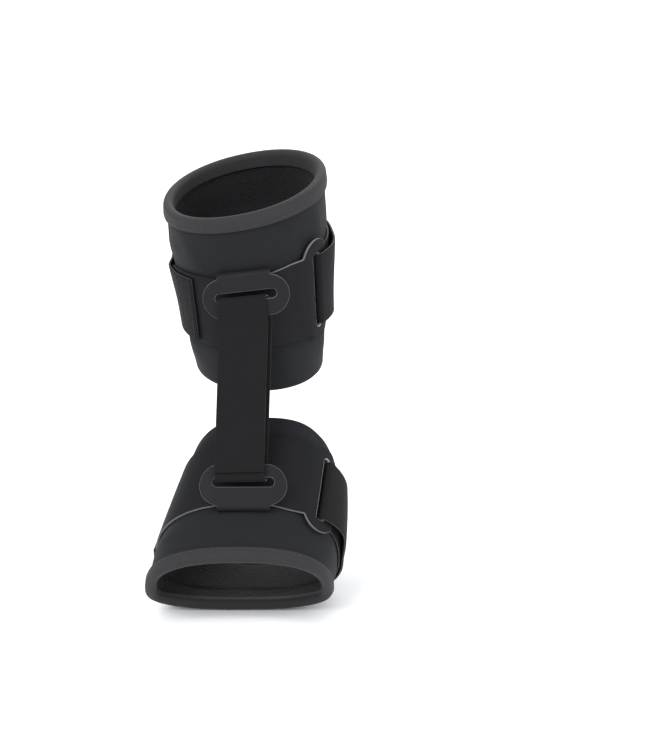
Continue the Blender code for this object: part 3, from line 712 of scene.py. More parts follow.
def lining_cloth(name, colour, depth):
    """The looped lining: small soft loops."""
    board = Board(name)
    loops = board.node("ShaderNodeTexVoronoi", {}, {"Vector": board.place(), "Scale": 1 / (1.2 * MM)})
    patch = board.noise(10 * MM, 3.0)
    tone = loops * 0.6 + patch * 0.4
    colour = board.blend(shade(colour, 0.6), shade(colour, 1.3), tone)
    return board.finish(colour, 0.9, 1 - loops, depth, Sheen_Weight=0.04, Sheen_Roughness=0.5, Specular_IOR_Level=0.2)


def smooth_laminate(name, colour, depth):
    """Smooth bonded face with a very fine leathery grain and a soft sheen."""
    board = Board(name)
    grain = board.noise(0.9 * MM, 4.0, 0.6)
    patch = board.noise(18 * MM, 3.0)
    rub = board.noise(5 * MM, 4.0, 0.65)
    colour = board.blend(shade(colour, 0.8), shade(colour, 1.22), grain * 0.35 + patch * 0.35 + rub * 0.3)
    return board.finish(
        colour, 0.55 + patch * 0.1 + rub * 0.1, grain * 0.6 + rub * 0.6, depth,
        Specular_IOR_Level=0.16, Sheen_Weight=0.01)


def ribbed_elastic(name, colour, depth, pitch):
    """Woven elastic: fine ribs across the band, crossed by close weft."""
    board = Board(name)
    u, v = board.flat()
    ribs = (u * (math.pi / pitch)).sine().size()
    weft = (v * (2 * math.pi / (0.75 * pitch)) + ribs * 1.5).sine() * 0.5 + 0.5
    fuzz = board.noise(0.8 * MM, 3.0)
    patch = board.noise(15 * MM, 2.0)
    tone = ribs * 0.13 + weft * 0.08 + fuzz * 0.36 + patch * 0.43
    colour = board.blend(shade(colour, 0.62), shade(colour, 1.36), tone)
    return board.finish(
        colour, 0.72 + patch * 0.1, ribs * 0.8 + weft * 0.2, depth,
        Sheen_Weight=0.04, Specular_IOR_Level=0.3)


def strap_webbing(name, colour, depth, pitch):
    """Close plain weave with a faint lengthways grain."""
    board = Board(name)
    u, v = board.flat()
    warp = (u * (math.pi / pitch)).sine()
    weft = (v * (math.pi / pitch)).sine()
    weave = warp * weft * 0.5 + 0.5
    fuzz = board.noise(0.9 * MM, 4.0, 0.7)
    patch = board.noise(20 * MM, 3.0)
    colour = board.blend(shade(colour, 0.66), shade(colour, 1.36), weave * 0.35 + fuzz * 0.3 + patch * 0.35)
    return board.finish(
        colour, 0.78 + patch * 0.12, weave * 0.7 + fuzz * 0.4, depth,
        Sheen_Weight=0.03, Sheen_Roughness=0.4, Specular_IOR_Level=0.15)


def cut_edge(name, colour, depth, hidden=(0.0, 0.0, 0.0), bare=None, sides=None, slot=None):
    """The core seen where bonded cloth is cut: pale past the bare heights and sides, and painted brighter beside a
    slot, a painted highlight on the slot's edge.
    """
    board = Board(name)
    u, v = board.flat()
    grain = board.noise(0.7 * MM, 3.0)
    patch = board.noise(9 * MM, 2.0)
    # painted highlight: beside a slot the core is painted 3.2 times brighter, standing in for light on the slot's
    # edge
    slot_highlight_colour = shade(colour, 3.2)
    colour = board.blend(shade(colour, 0.6), shade(colour, 1.3), grain * 0.4 + patch * 0.6)
    if bare:
        shown = board.rise(v, *bare)
        if sides:
            shown = shown * board.rise(u, *sides)
        if slot:
            # painted highlight: the mask beside the slot blends the edge to the brighter colour
            (place, half), (middle, reach) = slot
            beside = board.rise((u - place).size(), half + 1.5 * MM, half + 0.5 * MM)
            beside = beside * board.rise((v - middle).size(), reach + 2.5 * MM, reach + 1.5 * MM)
            shown = shown.most(beside)
            colour = board.blend(colour, slot_highlight_colour, beside)
        colour = board.blend(hidden, colour, shown)
    return board.finish(colour, 0.6 + grain * 0.1, grain, depth, Specular_IOR_Level=0.2)


def twisted_thread(name, colour, depth):
    board = Board(name)
    strand = board.noise(0.4 * MM, 2.0)
    tint = board.blend(shade(colour, 0.8), shade(colour, 1.3), strand)
    return board.finish(tint, 0.5 + strand * 0.1, strand, depth, Sheen_Weight=0.1)


def plain_paper(name, colour):
    board = Board(name)
    grain = board.noise(40 * MM, 2.0)
    colour = board.blend(shade(colour, 0.99), shade(colour, 1.01), grain)
    return board.finish(colour, 0.85, grain, 0.0002)


# User's sizes and colours

class SplintCloth(bpy.types.PropertyGroup):
    """The cloths' colours, weaves and folds"""

    cloth_colour: bpy.props.FloatVectorProperty(
        name="Cloth", description="Colour of the brushed cuffs", subtype="COLOR", size=3,
        default=(0.0077, 0.0081, 0.0100), min=0, max=1)
    lining_colour: bpy.props.FloatVectorProperty(
        name="Lining", description="Colour of the looped lining", subtype="COLOR", size=3,
        default=(0.0080, 0.0080, 0.0090), min=0, max=1)
    laminate_colour: bpy.props.FloatVectorProperty(
        name="Laminate", description="Colour of the overlays", subtype="COLOR", size=3,
        default=(0.0036, 0.0038, 0.0045), min=0, max=1)
    tab_colour: bpy.props.FloatVectorProperty(
        name="Tabs", description="Colour of the slotted tabs", subtype="COLOR", size=3,
        default=(0.0078, 0.0072, 0.0092), min=0, max=1)
    elastic_colour: bpy.props.FloatVectorProperty(
        name="Elastic", description="Colour of the ribbed edge bands", subtype="COLOR", size=3,
        default=(0.0160, 0.0155, 0.0168), min=0, max=1)
    strap_colour: bpy.props.FloatVectorProperty(
        name="Straps", description="Colour of the strap cloth", subtype="COLOR", size=3,
        default=(0.0055, 0.0055, 0.0060), min=0, max=1)
    edge_colour: bpy.props.FloatVectorProperty(
        name="Cut edge", description="Colour of the laminate's cut core", subtype="COLOR", size=3,
        default=(0.13, 0.13, 0.135), min=0, max=1)
    thread_colour: bpy.props.FloatVectorProperty(
        name="Thread", description="Colour of the sewing thread", subtype="COLOR", size=3,
        default=(0.009, 0.009, 0.010), min=0, max=1)
    nap_depth: bpy.props.FloatProperty(
        name="Nap depth", description="How deep the cloth's surface pattern is", unit="LENGTH",
        default=0.00035, min=0.0, max=0.002, precision=5)
    rib_pitch: bpy.props.FloatProperty(
        name="Rib pitch", description="Distance between two ribs of the elastic", unit="LENGTH",
        default=0.0013, min=0.0005, max=0.005, precision=5)
    weave_pitch: bpy.props.FloatProperty(
        name="Weave pitch", description="Distance between two yarns of the straps", unit="LENGTH",
        default=0.0009, min=0.0004, max=0.004, precision=5)
    fold_depth: bpy.props.FloatProperty(
        name="Fold depth", description="How far the cuffs' soft folds stand out", unit="LENGTH",
        default=0.001, min=0.0, max=0.003, precision=5)


class SplintStitches(bpy.types.PropertyGroup):
    """The sewing"""

    stitch_length: bpy.props.FloatProperty(
        name="Stitch length", description="Length of one stitch", unit="LENGTH",
        default=0.0022, min=0.0005, max=0.01, precision=5)
    stitch_gap: bpy.props.FloatProperty(
        name="Stitch gap", description="Gap between two stitches", unit="LENGTH",
        default=0.0007, min=0.0001, max=0.01, precision=5)
    thread_radius: bpy.props.FloatProperty(
        name="Thread radius", description="Half the thread's thickness", unit="LENGTH",
        default=0.00024, min=0.00005, max=0.001, precision=6)


class SplintStage(bpy.types.PropertyGroup):
    """The studio and the camera"""

    floor_colour: bpy.props.FloatVectorProperty(
        name="Floor", description="Colour of the floor", subtype="COLOR", size=3,
        default=(0.88, 0.88, 0.89), min=0, max=1)
    key_strength: bpy.props.FloatProperty(
        name="Main light", description="Power of the main soft light", unit="POWER", default=33.0, min=0.0)
    fill_strength: bpy.props.FloatProperty(
        name="Fill light", description="Power of the soft light from the other side", unit="POWER",
        default=15.0, min=0.0)
    back_strength: bpy.props.FloatProperty(
        name="Back light", description="Power of the light behind", unit="POWER", default=13.0, min=0.0)
    camera_distance: bpy.props.FloatProperty(
        name="Camera distance", description="From the camera to what it looks at", unit="LENGTH",
        default=1.5, min=0.3)
    camera_height: bpy.props.FloatProperty(
        name="Camera elevation", description="Angle of the view above the horizon", subtype="ANGLE",
        default=math.radians(20), min=0.0, max=math.pi / 2)
    camera_lens: bpy.props.FloatProperty(
        name="Lens", description="Focal length over a 36 mm image", default=135.9, min=10.0)


class Workshop:
    """The two cuffs' surfaces and the finishes, made once for all pieces."""

    surfaces = {}
    finishes = {}


def surfaces():
    if not Workshop.surfaces:
        depth = bpy.context.scene.splint_cloth.fold_depth
        calf = Cuff(calf_section, CALF_FOLDS, (CALF_FOLD, CALF_FOLD + WING_HEIGHT), depth)
        foot = Cuff(foot_section, FOOT_FOLDS, (FOOT_FOLD - WING_HEIGHT, FOOT_FOLD), depth)
        Workshop.surfaces = {
            "calf": TabFrame(calf, CALF_FOLD, -1, CALF_TAB_PLACE, CALF_TAB_SLOT, CALF_TAB_TILT, CALF_TAB_RISE),
            "foot": TabFrame(foot, FOOT_FOLD, 1, FOOT_TAB_PLACE, FOOT_TAB_SLOT, FOOT_TAB_TILT, FOOT_TAB_RISE),
        }
    return Workshop.surfaces


def finish_of(name):
    if not Workshop.finishes:
        cloth = bpy.context.scene.splint_cloth
        nap = cloth.nap_depth
        pale = tuple(cloth.edge_colour)
        upper = (-0.62 * WING_HEIGHT, -0.3 * WING_HEIGHT)
        slot = ((SLOT_PLACE, SLOT_WIDTH / 2), (SLOT_OUTER - STRAP_SLOT / 2, STRAP_SLOT / 2))
        curl_end = surfaces()["calf"].plate_run
        past_curl = (curl_end - MM, curl_end + MM)
        Workshop.finishes = {
            "cloth": brushed_cloth("splint_brushed_cloth", tuple(cloth.cloth_colour), nap),
            "lining": lining_cloth("splint_lining", tuple(cloth.lining_colour), nap * 1.4),
            "laminate": smooth_laminate("splint_laminate", tuple(cloth.laminate_colour), nap * 0.25),
            "tab": smooth_laminate("splint_tab", tuple(cloth.tab_colour), nap * 0.2),
            "elastic": ribbed_elastic(
                "splint_elastic", tuple(cloth.elastic_colour), nap * 0.55, cloth.rib_pitch),
            "strap": strap_webbing("splint_strap", tuple(cloth.strap_colour), nap * 0.6, cloth.weave_pitch),
            "calf_wing_edge": cut_edge(
                "splint_calf_overlay_edge", pale, nap * 0.3, tuple(cloth.laminate_colour), upper,
                (-12 * MM, 2 * MM), slot),
            "foot_wing_edge": cut_edge(
                "splint_foot_overlay_edge", pale, nap * 0.3, tuple(cloth.laminate_colour), upper,
                None, slot),
            "tab_edge": cut_edge(
                "splint_tab_edge", shade(pale, 0.8), nap * 0.3, tuple(cloth.tab_colour), past_curl),
            "strap_edge": cut_edge("splint_strap_edge", shade(pale, 0.45), nap * 0.5),
            "thread": twisted_thread("splint_thread", tuple(cloth.thread_colour), nap * 0.3),
        }
    return Workshop.finishes[name]


def settle(piece, node, flat=None):
    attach(piece, "root")
    if node:
        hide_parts(node)


# Pieces

def cuff_profile(cuff, bound_last):
    """A padded wall with rounded edges: its outer face, an edge, its inner face, an edge."""
    half = CUFF_WALL / 2
    bound = BINDING_WALL + CLEARANCE
    places = np.linspace(bound + half, cuff.length - half, ALONG_STEPS)
    bend = [math.radians(angle) for angle in (60, 30, 0, -30, -60)]
    outer = [(place, 0.0) for place in places]
    far = [(places[-1] + half * math.cos(angle), -half + half * math.sin(angle)) for angle in bend]
    inner = [(place, -CUFF_WALL) for place in places[::-1]]
    near = [(places[0] - half * math.cos(angle), -half - half * math.sin(angle)) for angle in bend]
    profile = outer + far + inner + near
    slots = [0] * (ALONG_STEPS + 2) + [1] * (ALONG_STEPS + 4)
    slots += [0] * (len(profile) - len(slots))
    if bound_last:
        profile = [(cuff.length - along, off) for along, off in profile]
    return profile, slots


def binding_profile(cuff, bound_last):
    """A soft band folded over a cuff's edge: round at the fold, thin at its two hems."""
    inner, outer = CLEARANCE, CLEARANCE + BINDING_WALL
    wide = CUFF_WALL / 2 + outer
    places = np.linspace(BINDING_WIDTH, wide, 12)
    crown = [(place, outer + 0.12 * MM * math.sin(math.pi * i / 11)) for i, place in enumerate(places)]
    bend = [math.radians(angle) for angle in np.linspace(75, -75, 11)]
    fold = [(wide - wide * math.cos(angle), -CUFF_WALL / 2 + wide * math.sin(angle)) for angle in bend]
    lower = [(place, -outer - CUFF_WALL) for place in places[::-1]]
    inside_out = [(BINDING_WIDTH, -inner - CUFF_WALL), (BINDING_WALL, -inner - CUFF_WALL)]
    inside_out += [(BINDING_WALL, inner), (BINDING_WIDTH, inner)]
    hem = [(BINDING_WIDTH + 0.25 * MM, (inner + outer) / 2)]
    profile = crown + fold + lower + inside_out + hem
    if bound_last:
        profile = [(cuff.length - along, off) for along, off in profile]
    return profile, [0] * len(profile)


def wing_outline(left_reach, place_frame):
    """The overlay laid flat: across, and out from the fold line. Its right end is a round lug."""
    lug_low = (SLOT_PLACE, SLOT_OUTER - STRAP_SLOT + SLOT_WIDTH / 2)
    lug_high = (SLOT_PLACE, SLOT_OUTER - SLOT_WIDTH / 2)
    edge = WING_RIGHT_LIFT
    meet_high = 180 - math.degrees(math.asin((edge - lug_high[1]) / LUG_RADIUS))
    meet_low = 180 + math.degrees(math.asin(min((lug_low[1] + WING_HEIGHT) / LUG_RADIUS, 1.0)))
    high_start = (lug_high[0] + LUG_RADIUS * math.cos(math.radians(meet_high)), edge)
    neck = TAB_NECK / 2 + 2 * CLEARANCE
    place, slope = place_frame.place, place_frame.slope
    right, left = place + neck, place - neck
    corner = WING_CORNER
    outline = arc(lug_low, LUG_RADIUS, meet_low, 360, ARC_STEPS)
    outline += arc(lug_high, LUG_RADIUS, 0, meet_high, ARC_STEPS)[:-1]
    middle = (mix(right, high_start[0], 0.45), edge * 0.5)
    outline += curve([high_start, middle, (right, neck * slope)], SHEET_PITCH)
    outline += [(place + neck * share, neck * slope * share) for share in np.linspace(0.9, -0.9, 16)]
    left_edge = [(left, -neck * slope), (-left_reach * 0.6, WING_LEFT_LIFT), (-left_reach + corner, 0.0)]
    outline += curve(left_edge, SHEET_PITCH)
    outline += arc((-left_reach + corner, -corner), corner, 90, 180, 10)[1:]
    down = np.linspace(-corner, corner - WING_HEIGHT, 22)[1:-1]
    outline += [(-left_reach, step) for step in down]
    outline += arc((-left_reach + corner, corner - WING_HEIGHT), corner, 180, 270, 10)
    steps = round((high_start[0] + left_reach) / SHEET_PITCH)
    low_end = lug_low[0] + LUG_RADIUS * math.cos(math.radians(meet_low))
    outline += [(mix(-left_reach + corner, low_end, i / steps), -WING_HEIGHT) for i in range(1, steps)]
    return outline


def make_wing(name, place_frame, left_reach):
    outline = wing_outline(left_reach, place_frame)
    hole = slot_outline((SLOT_PLACE, SLOT_OUTER - STRAP_SLOT / 2), STRAP_SLOT, SLOT_WIDTH, True)
    loops = [outline, hole]
    grid = [
        ((i + 0.5 * (j % 2)) * SHEET_PITCH, j * SHEET_PITCH)
        for i in range(-round(left_reach / SHEET_PITCH), round(1.4 * SLOT_PLACE / SHEET_PITCH))
        for j in range(-round(1.3 * WING_HEIGHT / SHEET_PITCH), 6)
    ]
    keep = inside(grid, loops, SHEET_PITCH * 0.55)
    flat, triangles = filled(loops, [point for point, kept in zip(grid, keep) if kept])
    flat = np.array(flat)
    raised = ease(flat[:, 0], SLOT_PLACE - LUG_RADIUS - 8 * MM, SLOT_PLACE - SLOT_WIDTH)
    off = mix(WING_OFF, BAR_OFF, raised)
    points = place_frame.cuff.at(
        flat[:, 0], place_frame.fold_along + place_frame.outward * flat[:, 1], off)
    return sheet_piece(
        name, points, triangles, flat, LAMINATE_WALL, [finish_of("laminate"), finish_of(name[:4] + "_wing_edge")], CUT_ROUND, 1)


def make_tab(name, place_frame):
    start = place_frame.plate_run
    neck = TAB_NECK / 2
    radius = TAB_LENGTH / 2
    lobe = TAB_WIDTH / 2 - radius
    curl = [place_frame.plate_run * i / CURL_STEPS for i in range(CURL_STEPS + 1)]
    right = arc((lobe, start + radius), radius, -70, 90, ARC_STEPS)
    left = arc((-lobe, start + radius), radius, 90, 250, ARC_STEPS)
    top_steps = round(2 * lobe / TAB_PITCH)
    far = [(lobe * (1 - 2 * i / top_steps), start + 2 * radius) for i in range(1, top_steps)]
    outline = [(neck, run) for run in curl] + right + far + left + [(-neck, run) for run in reversed(curl)]
    outline += [(-neck * share, 0.0) for share in np.linspace(0.92, -0.92, 18)]
    slot_middle = start + place_frame.slot + TAB_SLOT_HEIGHT / 2
    hole = slot_outline((0.0, slot_middle), TAB_SLOT_WIDTH, TAB_SLOT_HEIGHT, False)
    columns = round(TAB_WIDTH / 2 / TAB_PITCH)
    rows = curl[1:] + [start + TAB_PITCH * i for i in range(1, round(TAB_LENGTH / TAB_PITCH) + 1)]
    grid = [(TAB_PITCH * i, run) for run in rows for i in range(-columns, columns + 1)]
    curled = np.array([run < start for _, run in grid])
    keep = np.where(curled, inside(grid, [outline, hole], 0.15 * MM), inside(grid, [outline, hole], TAB_PITCH * 0.5))
    flat, triangles = filled([outline, hole], [point for point, kept in zip(grid, keep) if kept])
    points = [place_frame.sheet_point(across, run) for across, run in flat]
    return sheet_piece(
        name, points, triangles, flat, LAMINATE_WALL, [finish_of("tab"), finish_of("tab_edge")], CUT_ROUND, 1)


def turn_round_bar(edge, first, last):
    middle, radius = (first + last) / 2, (last - first) / 2
    centre = edge + BAR_EDGE_ROOM
    return [
        (centre - radius * math.sin(angle), middle - radius * math.cos(angle))
        for angle in np.linspace(0, math.pi, TURN_STEPS)
    ]


def side_strap_path(place_frame, start, wing_end, free_end, bulge):
    """From the sewn end round the back, under the bar, out of the slot and back, as (girth, off)."""
    girth = float(place_frame.cuff.girth(place_frame.fold_along))
    path = []
    for place in np.arange(start, wing_end + 16 * MM, STRAP_PITCH / 2):
        settled_down = ease(place, wing_end + MM, wing_end + 12 * MM)
        path.append((-place, float(mix(STRAP_OVER_WING, STRAP_OFF, settled_down))))
    turn = turn_round_bar(SLOT_PLACE + SLOT_WIDTH / 2, STRAP_OFF, STRAP_OVER_BAR)
    near = [(place - girth, off) for place, off in turn]
    steps = round((path[-1][0] - near[0][0]) / STRAP_PITCH)
    path += [(mix(path[-1][0], near[0][0], i / steps), STRAP_OFF) for i in range(1, steps)]
    path += near
    first, last = near[-1][0], free_end - girth
    steps = round((last - first) / STRAP_PITCH)
    for i in range(1, steps + 1):
        place = mix(first, last, i / steps)
        down = ease(place - first, LUG_RADIUS, LUG_RADIUS + 22 * MM)
        off = float(mix(STRAP_OVER_BAR, STRAP_OVER_STRAP, down))
        path.append((place, off + bulge * math.sin(math.pi * min((place - first) / BULGE_RUN, 1.0))))
    return path


def make_side_strap(name, place_frame, path):
    cuff, outward = place_frame.cuff, place_frame.outward
    margin = (STRAP_SLOT - STRAP_WIDTH) / 2
    whole = float(cuff.girth(place_frame.fold_along))
    across = outward * STRAP_WIDTH * np.linspace(0, 1, STRAP_COLUMNS)
    rows, run = [], []
    for girth, off in path:
        past_back = float(ease(-girth / whole, 0.3, 0.7))
        outer = mix(SEWN_OUTER, SLOT_OUTER, past_back) - margin
        places = place_frame.fold_along + outward * outer - across
        here = cuff.girth(places)
        turn = mix(girth / here, (whole + girth) / here - 1, past_back)
        rows.append(cuff.at_turn(turn, places, off))
    rows = np.array(rows)
    middle = rows[:, STRAP_COLUMNS // 2]
    run = np.concatenate([[0], np.cumsum(np.linalg.norm(np.diff(middle, axis=0), axis=1))])
    piece = strip_piece(
        name, rows, run, STRAP_WIDTH, WEBBING_WALL, [finish_of("strap"), finish_of("strap_edge")])
    return piece, float(run[-1])


def make_front_strap(name, upper, lower):
    """Twice through the lower tab's slot side and once through the upper one's."""
    beside = STRAP_OFF_BAR
    centre = TAB_SLOT_HEIGHT - SLOT_EDGE_ROOM + beside - STRAP_WALL / 2
    clear = TAB_LENGTH + 3 * MM
    layer = STRAP_WALL + CLEARANCE

    def point(place_frame, shift, reach, proud):
        return place_frame.world(shift, place_frame.plate(reach, proud))

    def half_turn(place_frame, shifts, start, end):
        found = []
        for share in np.linspace(0, 1, TURN_STEPS):
            angle = math.pi * share
            proud = (start + end) / 2 + (start - end) / 2 * math.cos(angle)
            reach = place_frame.slot + centre - beside * math.sin(angle)
            found.append(point(place_frame, mix(*shifts, share), reach, proud))
        return found

    def run_between(first, last):
        steps = max(2, round(np.linalg.norm(last - first) / STRAP_PITCH))
        return [mix(first, last, i / steps) for i in range(1, steps)]

    front_low = point(lower, LOWER_FRONT_SHIFT, clear, beside + layer)
    front_high = point(upper, UPPER_FRONT_SHIFT, clear, beside)
    towards = (front_high - front_low) / np.linalg.norm(front_high - front_low)
    tail_low = point(lower, LOWER_FRONT_SHIFT, clear, beside)
    tail_high = tail_low + towards * STRAP_TAIL
    back_low = point(lower, LOWER_BACK_SHIFT, clear, -beside)
    back_high = point(upper, UPPER_BACK_SHIFT, clear, -beside)
    free_end = lower.slot + TAB_SLOT_HEIGHT + FREE_END_SETBACK
    free = point(lower, LOWER_FRONT_SHIFT, free_end, beside + layer)
    low_turn = half_turn(lower, (LOWER_FRONT_SHIFT, LOWER_BACK_SHIFT), beside, -beside)
    high_turn = half_turn(upper, (UPPER_BACK_SHIFT, UPPER_FRONT_SHIFT), -beside, beside)
    path = [tail_high] + run_between(tail_high, tail_low) + [tail_low]
    path += run_between(tail_low, low_turn[0]) + low_turn + run_between(low_turn[-1], back_low)
    path += [back_low] + run_between(back_low, back_high) + [back_high]
    path += run_between(back_high, high_turn[0]) + high_turn + run_between(high_turn[-1], front_high)
    path += [front_high] + run_between(front_high, front_low) + [front_low]
    path += run_between(front_low, free) + [free]
    rows = []
    spread = np.linspace(-FRONT_STRAP_WIDTH / 2, FRONT_STRAP_WIDTH / 2, FRONT_COLUMNS)
    for place in path:
        share = (place - lower.origin).dot(towards) / (upper.origin - lower.origin).dot(towards)
        across = mix(lower.across, upper.across, min(max(share, 0.0), 1.0))
        across /= np.linalg.norm(across)
        rows.append(place + np.outer(spread, across))
    rows = np.array(rows)
    run = np.concatenate([[0], np.cumsum(np.linalg.norm(np.diff(np.array(path), axis=0), axis=1))])
    piece = strip_piece(
        name, rows, run, FRONT_STRAP_WIDTH, WEBBING_WALL, [finish_of("strap"), finish_of("strap_edge")])
    return piece, float(run[-1])


# Sewing

def stitch_tree():
    """Stitches along a wire: small rounded threads a length and a gap apart."""
    tree = bpy.data.node_groups.new("splint_stitches", "GeometryNodeTree")
    face = tree.interface
    face.new_socket("Wire", in_out="INPUT", socket_type="NodeSocketGeometry")
    for name in ("Stitch Length", "Stitch Gap", "Thread Radius"):
        face.new_socket(name, in_out="INPUT", socket_type="NodeSocketFloat")
    face.new_socket("Thread", in_out="INPUT", socket_type="NodeSocketMaterial")
    face.new_socket("Stitches", in_out="OUTPUT", socket_type="NodeSocketGeometry")

    def add(kind, **settings):
        made = tree.nodes.new(kind)
        for key, value in settings.items():
            setattr(made, key, value)
        return made

    def join(first, first_socket, second, second_socket):
        tree.links.new(first.outputs[first_socket], second.inputs[second_socket])

    given, result = add("NodeGroupInput"), add("NodeGroupOutput")
    line, even = add("GeometryNodeMeshToCurve"), add("GeometryNodeResampleCurve", mode="LENGTH")
    pitch = add("ShaderNodeMath", operation="ADD")
    half = add("ShaderNodeMath", operation="MULTIPLY")
    half.inputs[1].default_value = 0.5
    tangent = add("GeometryNodeInputTangent")
    align = add("FunctionNodeAlignRotationToVector", axis="Z")
    size = add("ShaderNodeCombineXYZ")
    bead = add("GeometryNodeMeshUVSphere")
    bead.inputs["Segments"].default_value = 6
    bead.inputs["Rings"].default_value = 5
    bead.inputs["Radius"].default_value = 1.0
    copies = add("GeometryNodeInstanceOnPoints")
    real, coat = add("GeometryNodeRealizeInstances"), add("GeometryNodeSetMaterial")
    join(given, "Wire", line, 0)
    join(line, 0, even, 0)
    join(given, "Stitch Length", pitch, 0)
    join(given, "Stitch Gap", pitch, 1)
    join(pitch, 0, even, "Length")
    join(given, "Stitch Length", half, 0)
    join(tangent, 0, align, "Vector")
    join(given, "Thread Radius", size, 0)
    join(given, "Thread Radius", size, 1)
    join(half, 0, size, 2)
    join(even, 0, copies, "Points")
    join(bead, "Mesh", copies, "Instance")
    join(align, 0, copies, "Rotation")
    join(size, 0, copies, "Scale")
    join(copies, 0, real, 0)
    join(real, 0, coat, 0)
    join(given, "Thread", coat, "Material")
    join(coat, 0, result, 0)
    return tree


def make_stitches(name, lines, tree):
    """One piece of sewing from several lines of points; a closed line is (points, True)."""
    points, edges = [], []
    for line, closed in lines:
        first = len(points)
        points += [tuple(point) for point in line]
        edges += [(first + i, first + i + 1) for i in range(len(line) - 1)]
        if closed:
            edges.append((first + len(line) - 1, first))
    mesh = bpy.data.meshes.new(name)
    mesh.from_pydata(points, edges, [])
    made = bpy.data.objects.new(name, mesh)
    bpy.context.scene.collection.objects.link(made)
    given = bpy.context.scene.splint_stitches
    nodes = made.modifiers.new("stitches", "NODES")
    values = {
        "Stitch Length": given.stitch_length, "Stitch Gap": given.stitch_gap,
        "Thread Radius": given.thread_radius, "Thread": finish_of("thread"),
    }
    nodes.node_group = tree
    for item in tree.interface.items_tree:
        if item.in_out == "INPUT" and item.name in values:
            nodes[item.identifier] = values[item.name]
    settled(made)
    if len(made.data.polygons) == 0:
        raise RuntimeError(name + " has no stitches")
    made.data.shade_smooth()
    return made


# Operators

class SPLINT_OT_cuffs(bpy.types.Operator):
    """Make the two padded cuffs"""

    bl_idname = "splint.cuffs"
    bl_label = "Cuffs"

    def execute(self, context):
        for name, node, bound_last in (("calf", "calf_cuff", False), ("foot", "foot_cuff", True)):
            cuff = surfaces()[name].cuff
            profile, slots = cuff_profile(cuff, bound_last)
            piece = ring_piece(
                name + "_sleeve", cuff, profile, slots, [finish_of("cloth"), finish_of("lining")])
            settle(piece, node, (float(cuff.girth(cuff.length / 2)), cuff.length))
        return {"FINISHED"}


class SPLINT_OT_bands(bpy.types.Operator):
    """Make the ribbed bands over the top edge and the toe edge"""

    bl_idname = "splint.bands"
    bl_label = "Edge Bands"

    def execute(self, context):
        rows = (("calf", "calf_top_binding", False), ("foot", "foot_toe_binding", True))
        for name, node, bound_last in rows:
            cuff = surfaces()[name].cuff
            profile, slots = binding_profile(cuff, bound_last)
            piece = ring_piece(name + "_edge_band", cuff, profile, slots, [finish_of("elastic")])
            edge = cuff.length if bound_last else 0.0
            flat = (float(cuff.girth(edge)), 2 * BINDING_WIDTH + CUFF_WALL)
            settle(piece, node, flat)
        return {"FINISHED"}


class SPLINT_OT_overlays(bpy.types.Operator):
    """Make the laminated overlays with their lugs and side slots"""

    bl_idname = "splint.overlays"
    bl_label = "Overlays"

    def execute(self, context):
        rows = (("calf", "calf_wing", CALF_WING_REACH), ("foot", "foot_wing", FOOT_WING_REACH))
        for name, node, reach in rows:
            piece = make_wing(name + "_overlay", surfaces()[name], reach)
            flat = (reach + SLOT_PLACE + LUG_RADIUS, WING_HEIGHT + LUG_RADIUS)
            settle(
                piece, node, flat)
        return {"FINISHED"}


class SPLINT_OT_tabs(bpy.types.Operator):
    """Make the slotted tabs that fold over the overlays"""

    bl_idname = "splint.tabs"
    bl_label = "Tabs"

    def execute(self, context):
        for name, node in (("calf", "calf_tab"), ("foot", "foot_tab")):
            place = surfaces()[name]
            piece = make_tab(name + "_slotted_tab", place)
            length = TAB_LENGTH + place.plate_run
            area = TAB_WIDTH * TAB_LENGTH * 0.9 + TAB_NECK * place.plate_run - TAB_SLOT_WIDTH * TAB_SLOT_HEIGHT
            settle(
                piece, node, (TAB_WIDTH, length))
        return {"FINISHED"}


class SPLINT_OT_side_straps(bpy.types.Operator):
    """Make the wide straps round the calf and under the foot"""

    bl_idname = "splint.side_straps"
    bl_label = "Side Straps"

    def execute(self, context):
        rows = (
            ("calf", "calf_strap", CALF_STRAP_START, CALF_WING_REACH, CALF_STRAP_FREE_END, CALF_STRAP_BULGE),
            ("foot", "foot_strap", FOOT_STRAP_START, FOOT_WING_REACH, FOOT_STRAP_FREE_END, FOOT_STRAP_BULGE),
        )
        for name, node, start, wing_end, free_end, bulge in rows:
            place = surfaces()[name]
            path = side_strap_path(place, start, wing_end, free_end, bulge)
            piece, length = make_side_strap(name + "_side_strap", place, path)
            settle(piece, node, (STRAP_WIDTH, length))
        return {"FINISHED"}


class SPLINT_OT_front_strap(bpy.types.Operator):
    """Make the narrow strap that draws the two cuffs together"""

    bl_idname = "splint.front_strap"
    bl_label = "Front Strap"

    def execute(self, context):
        piece, length = make_front_strap("tension_strap", surfaces()["calf"], surfaces()["foot"])
        settle(piece, "front_strap", (FRONT_STRAP_WIDTH, length))
        return {"FINISHED"}


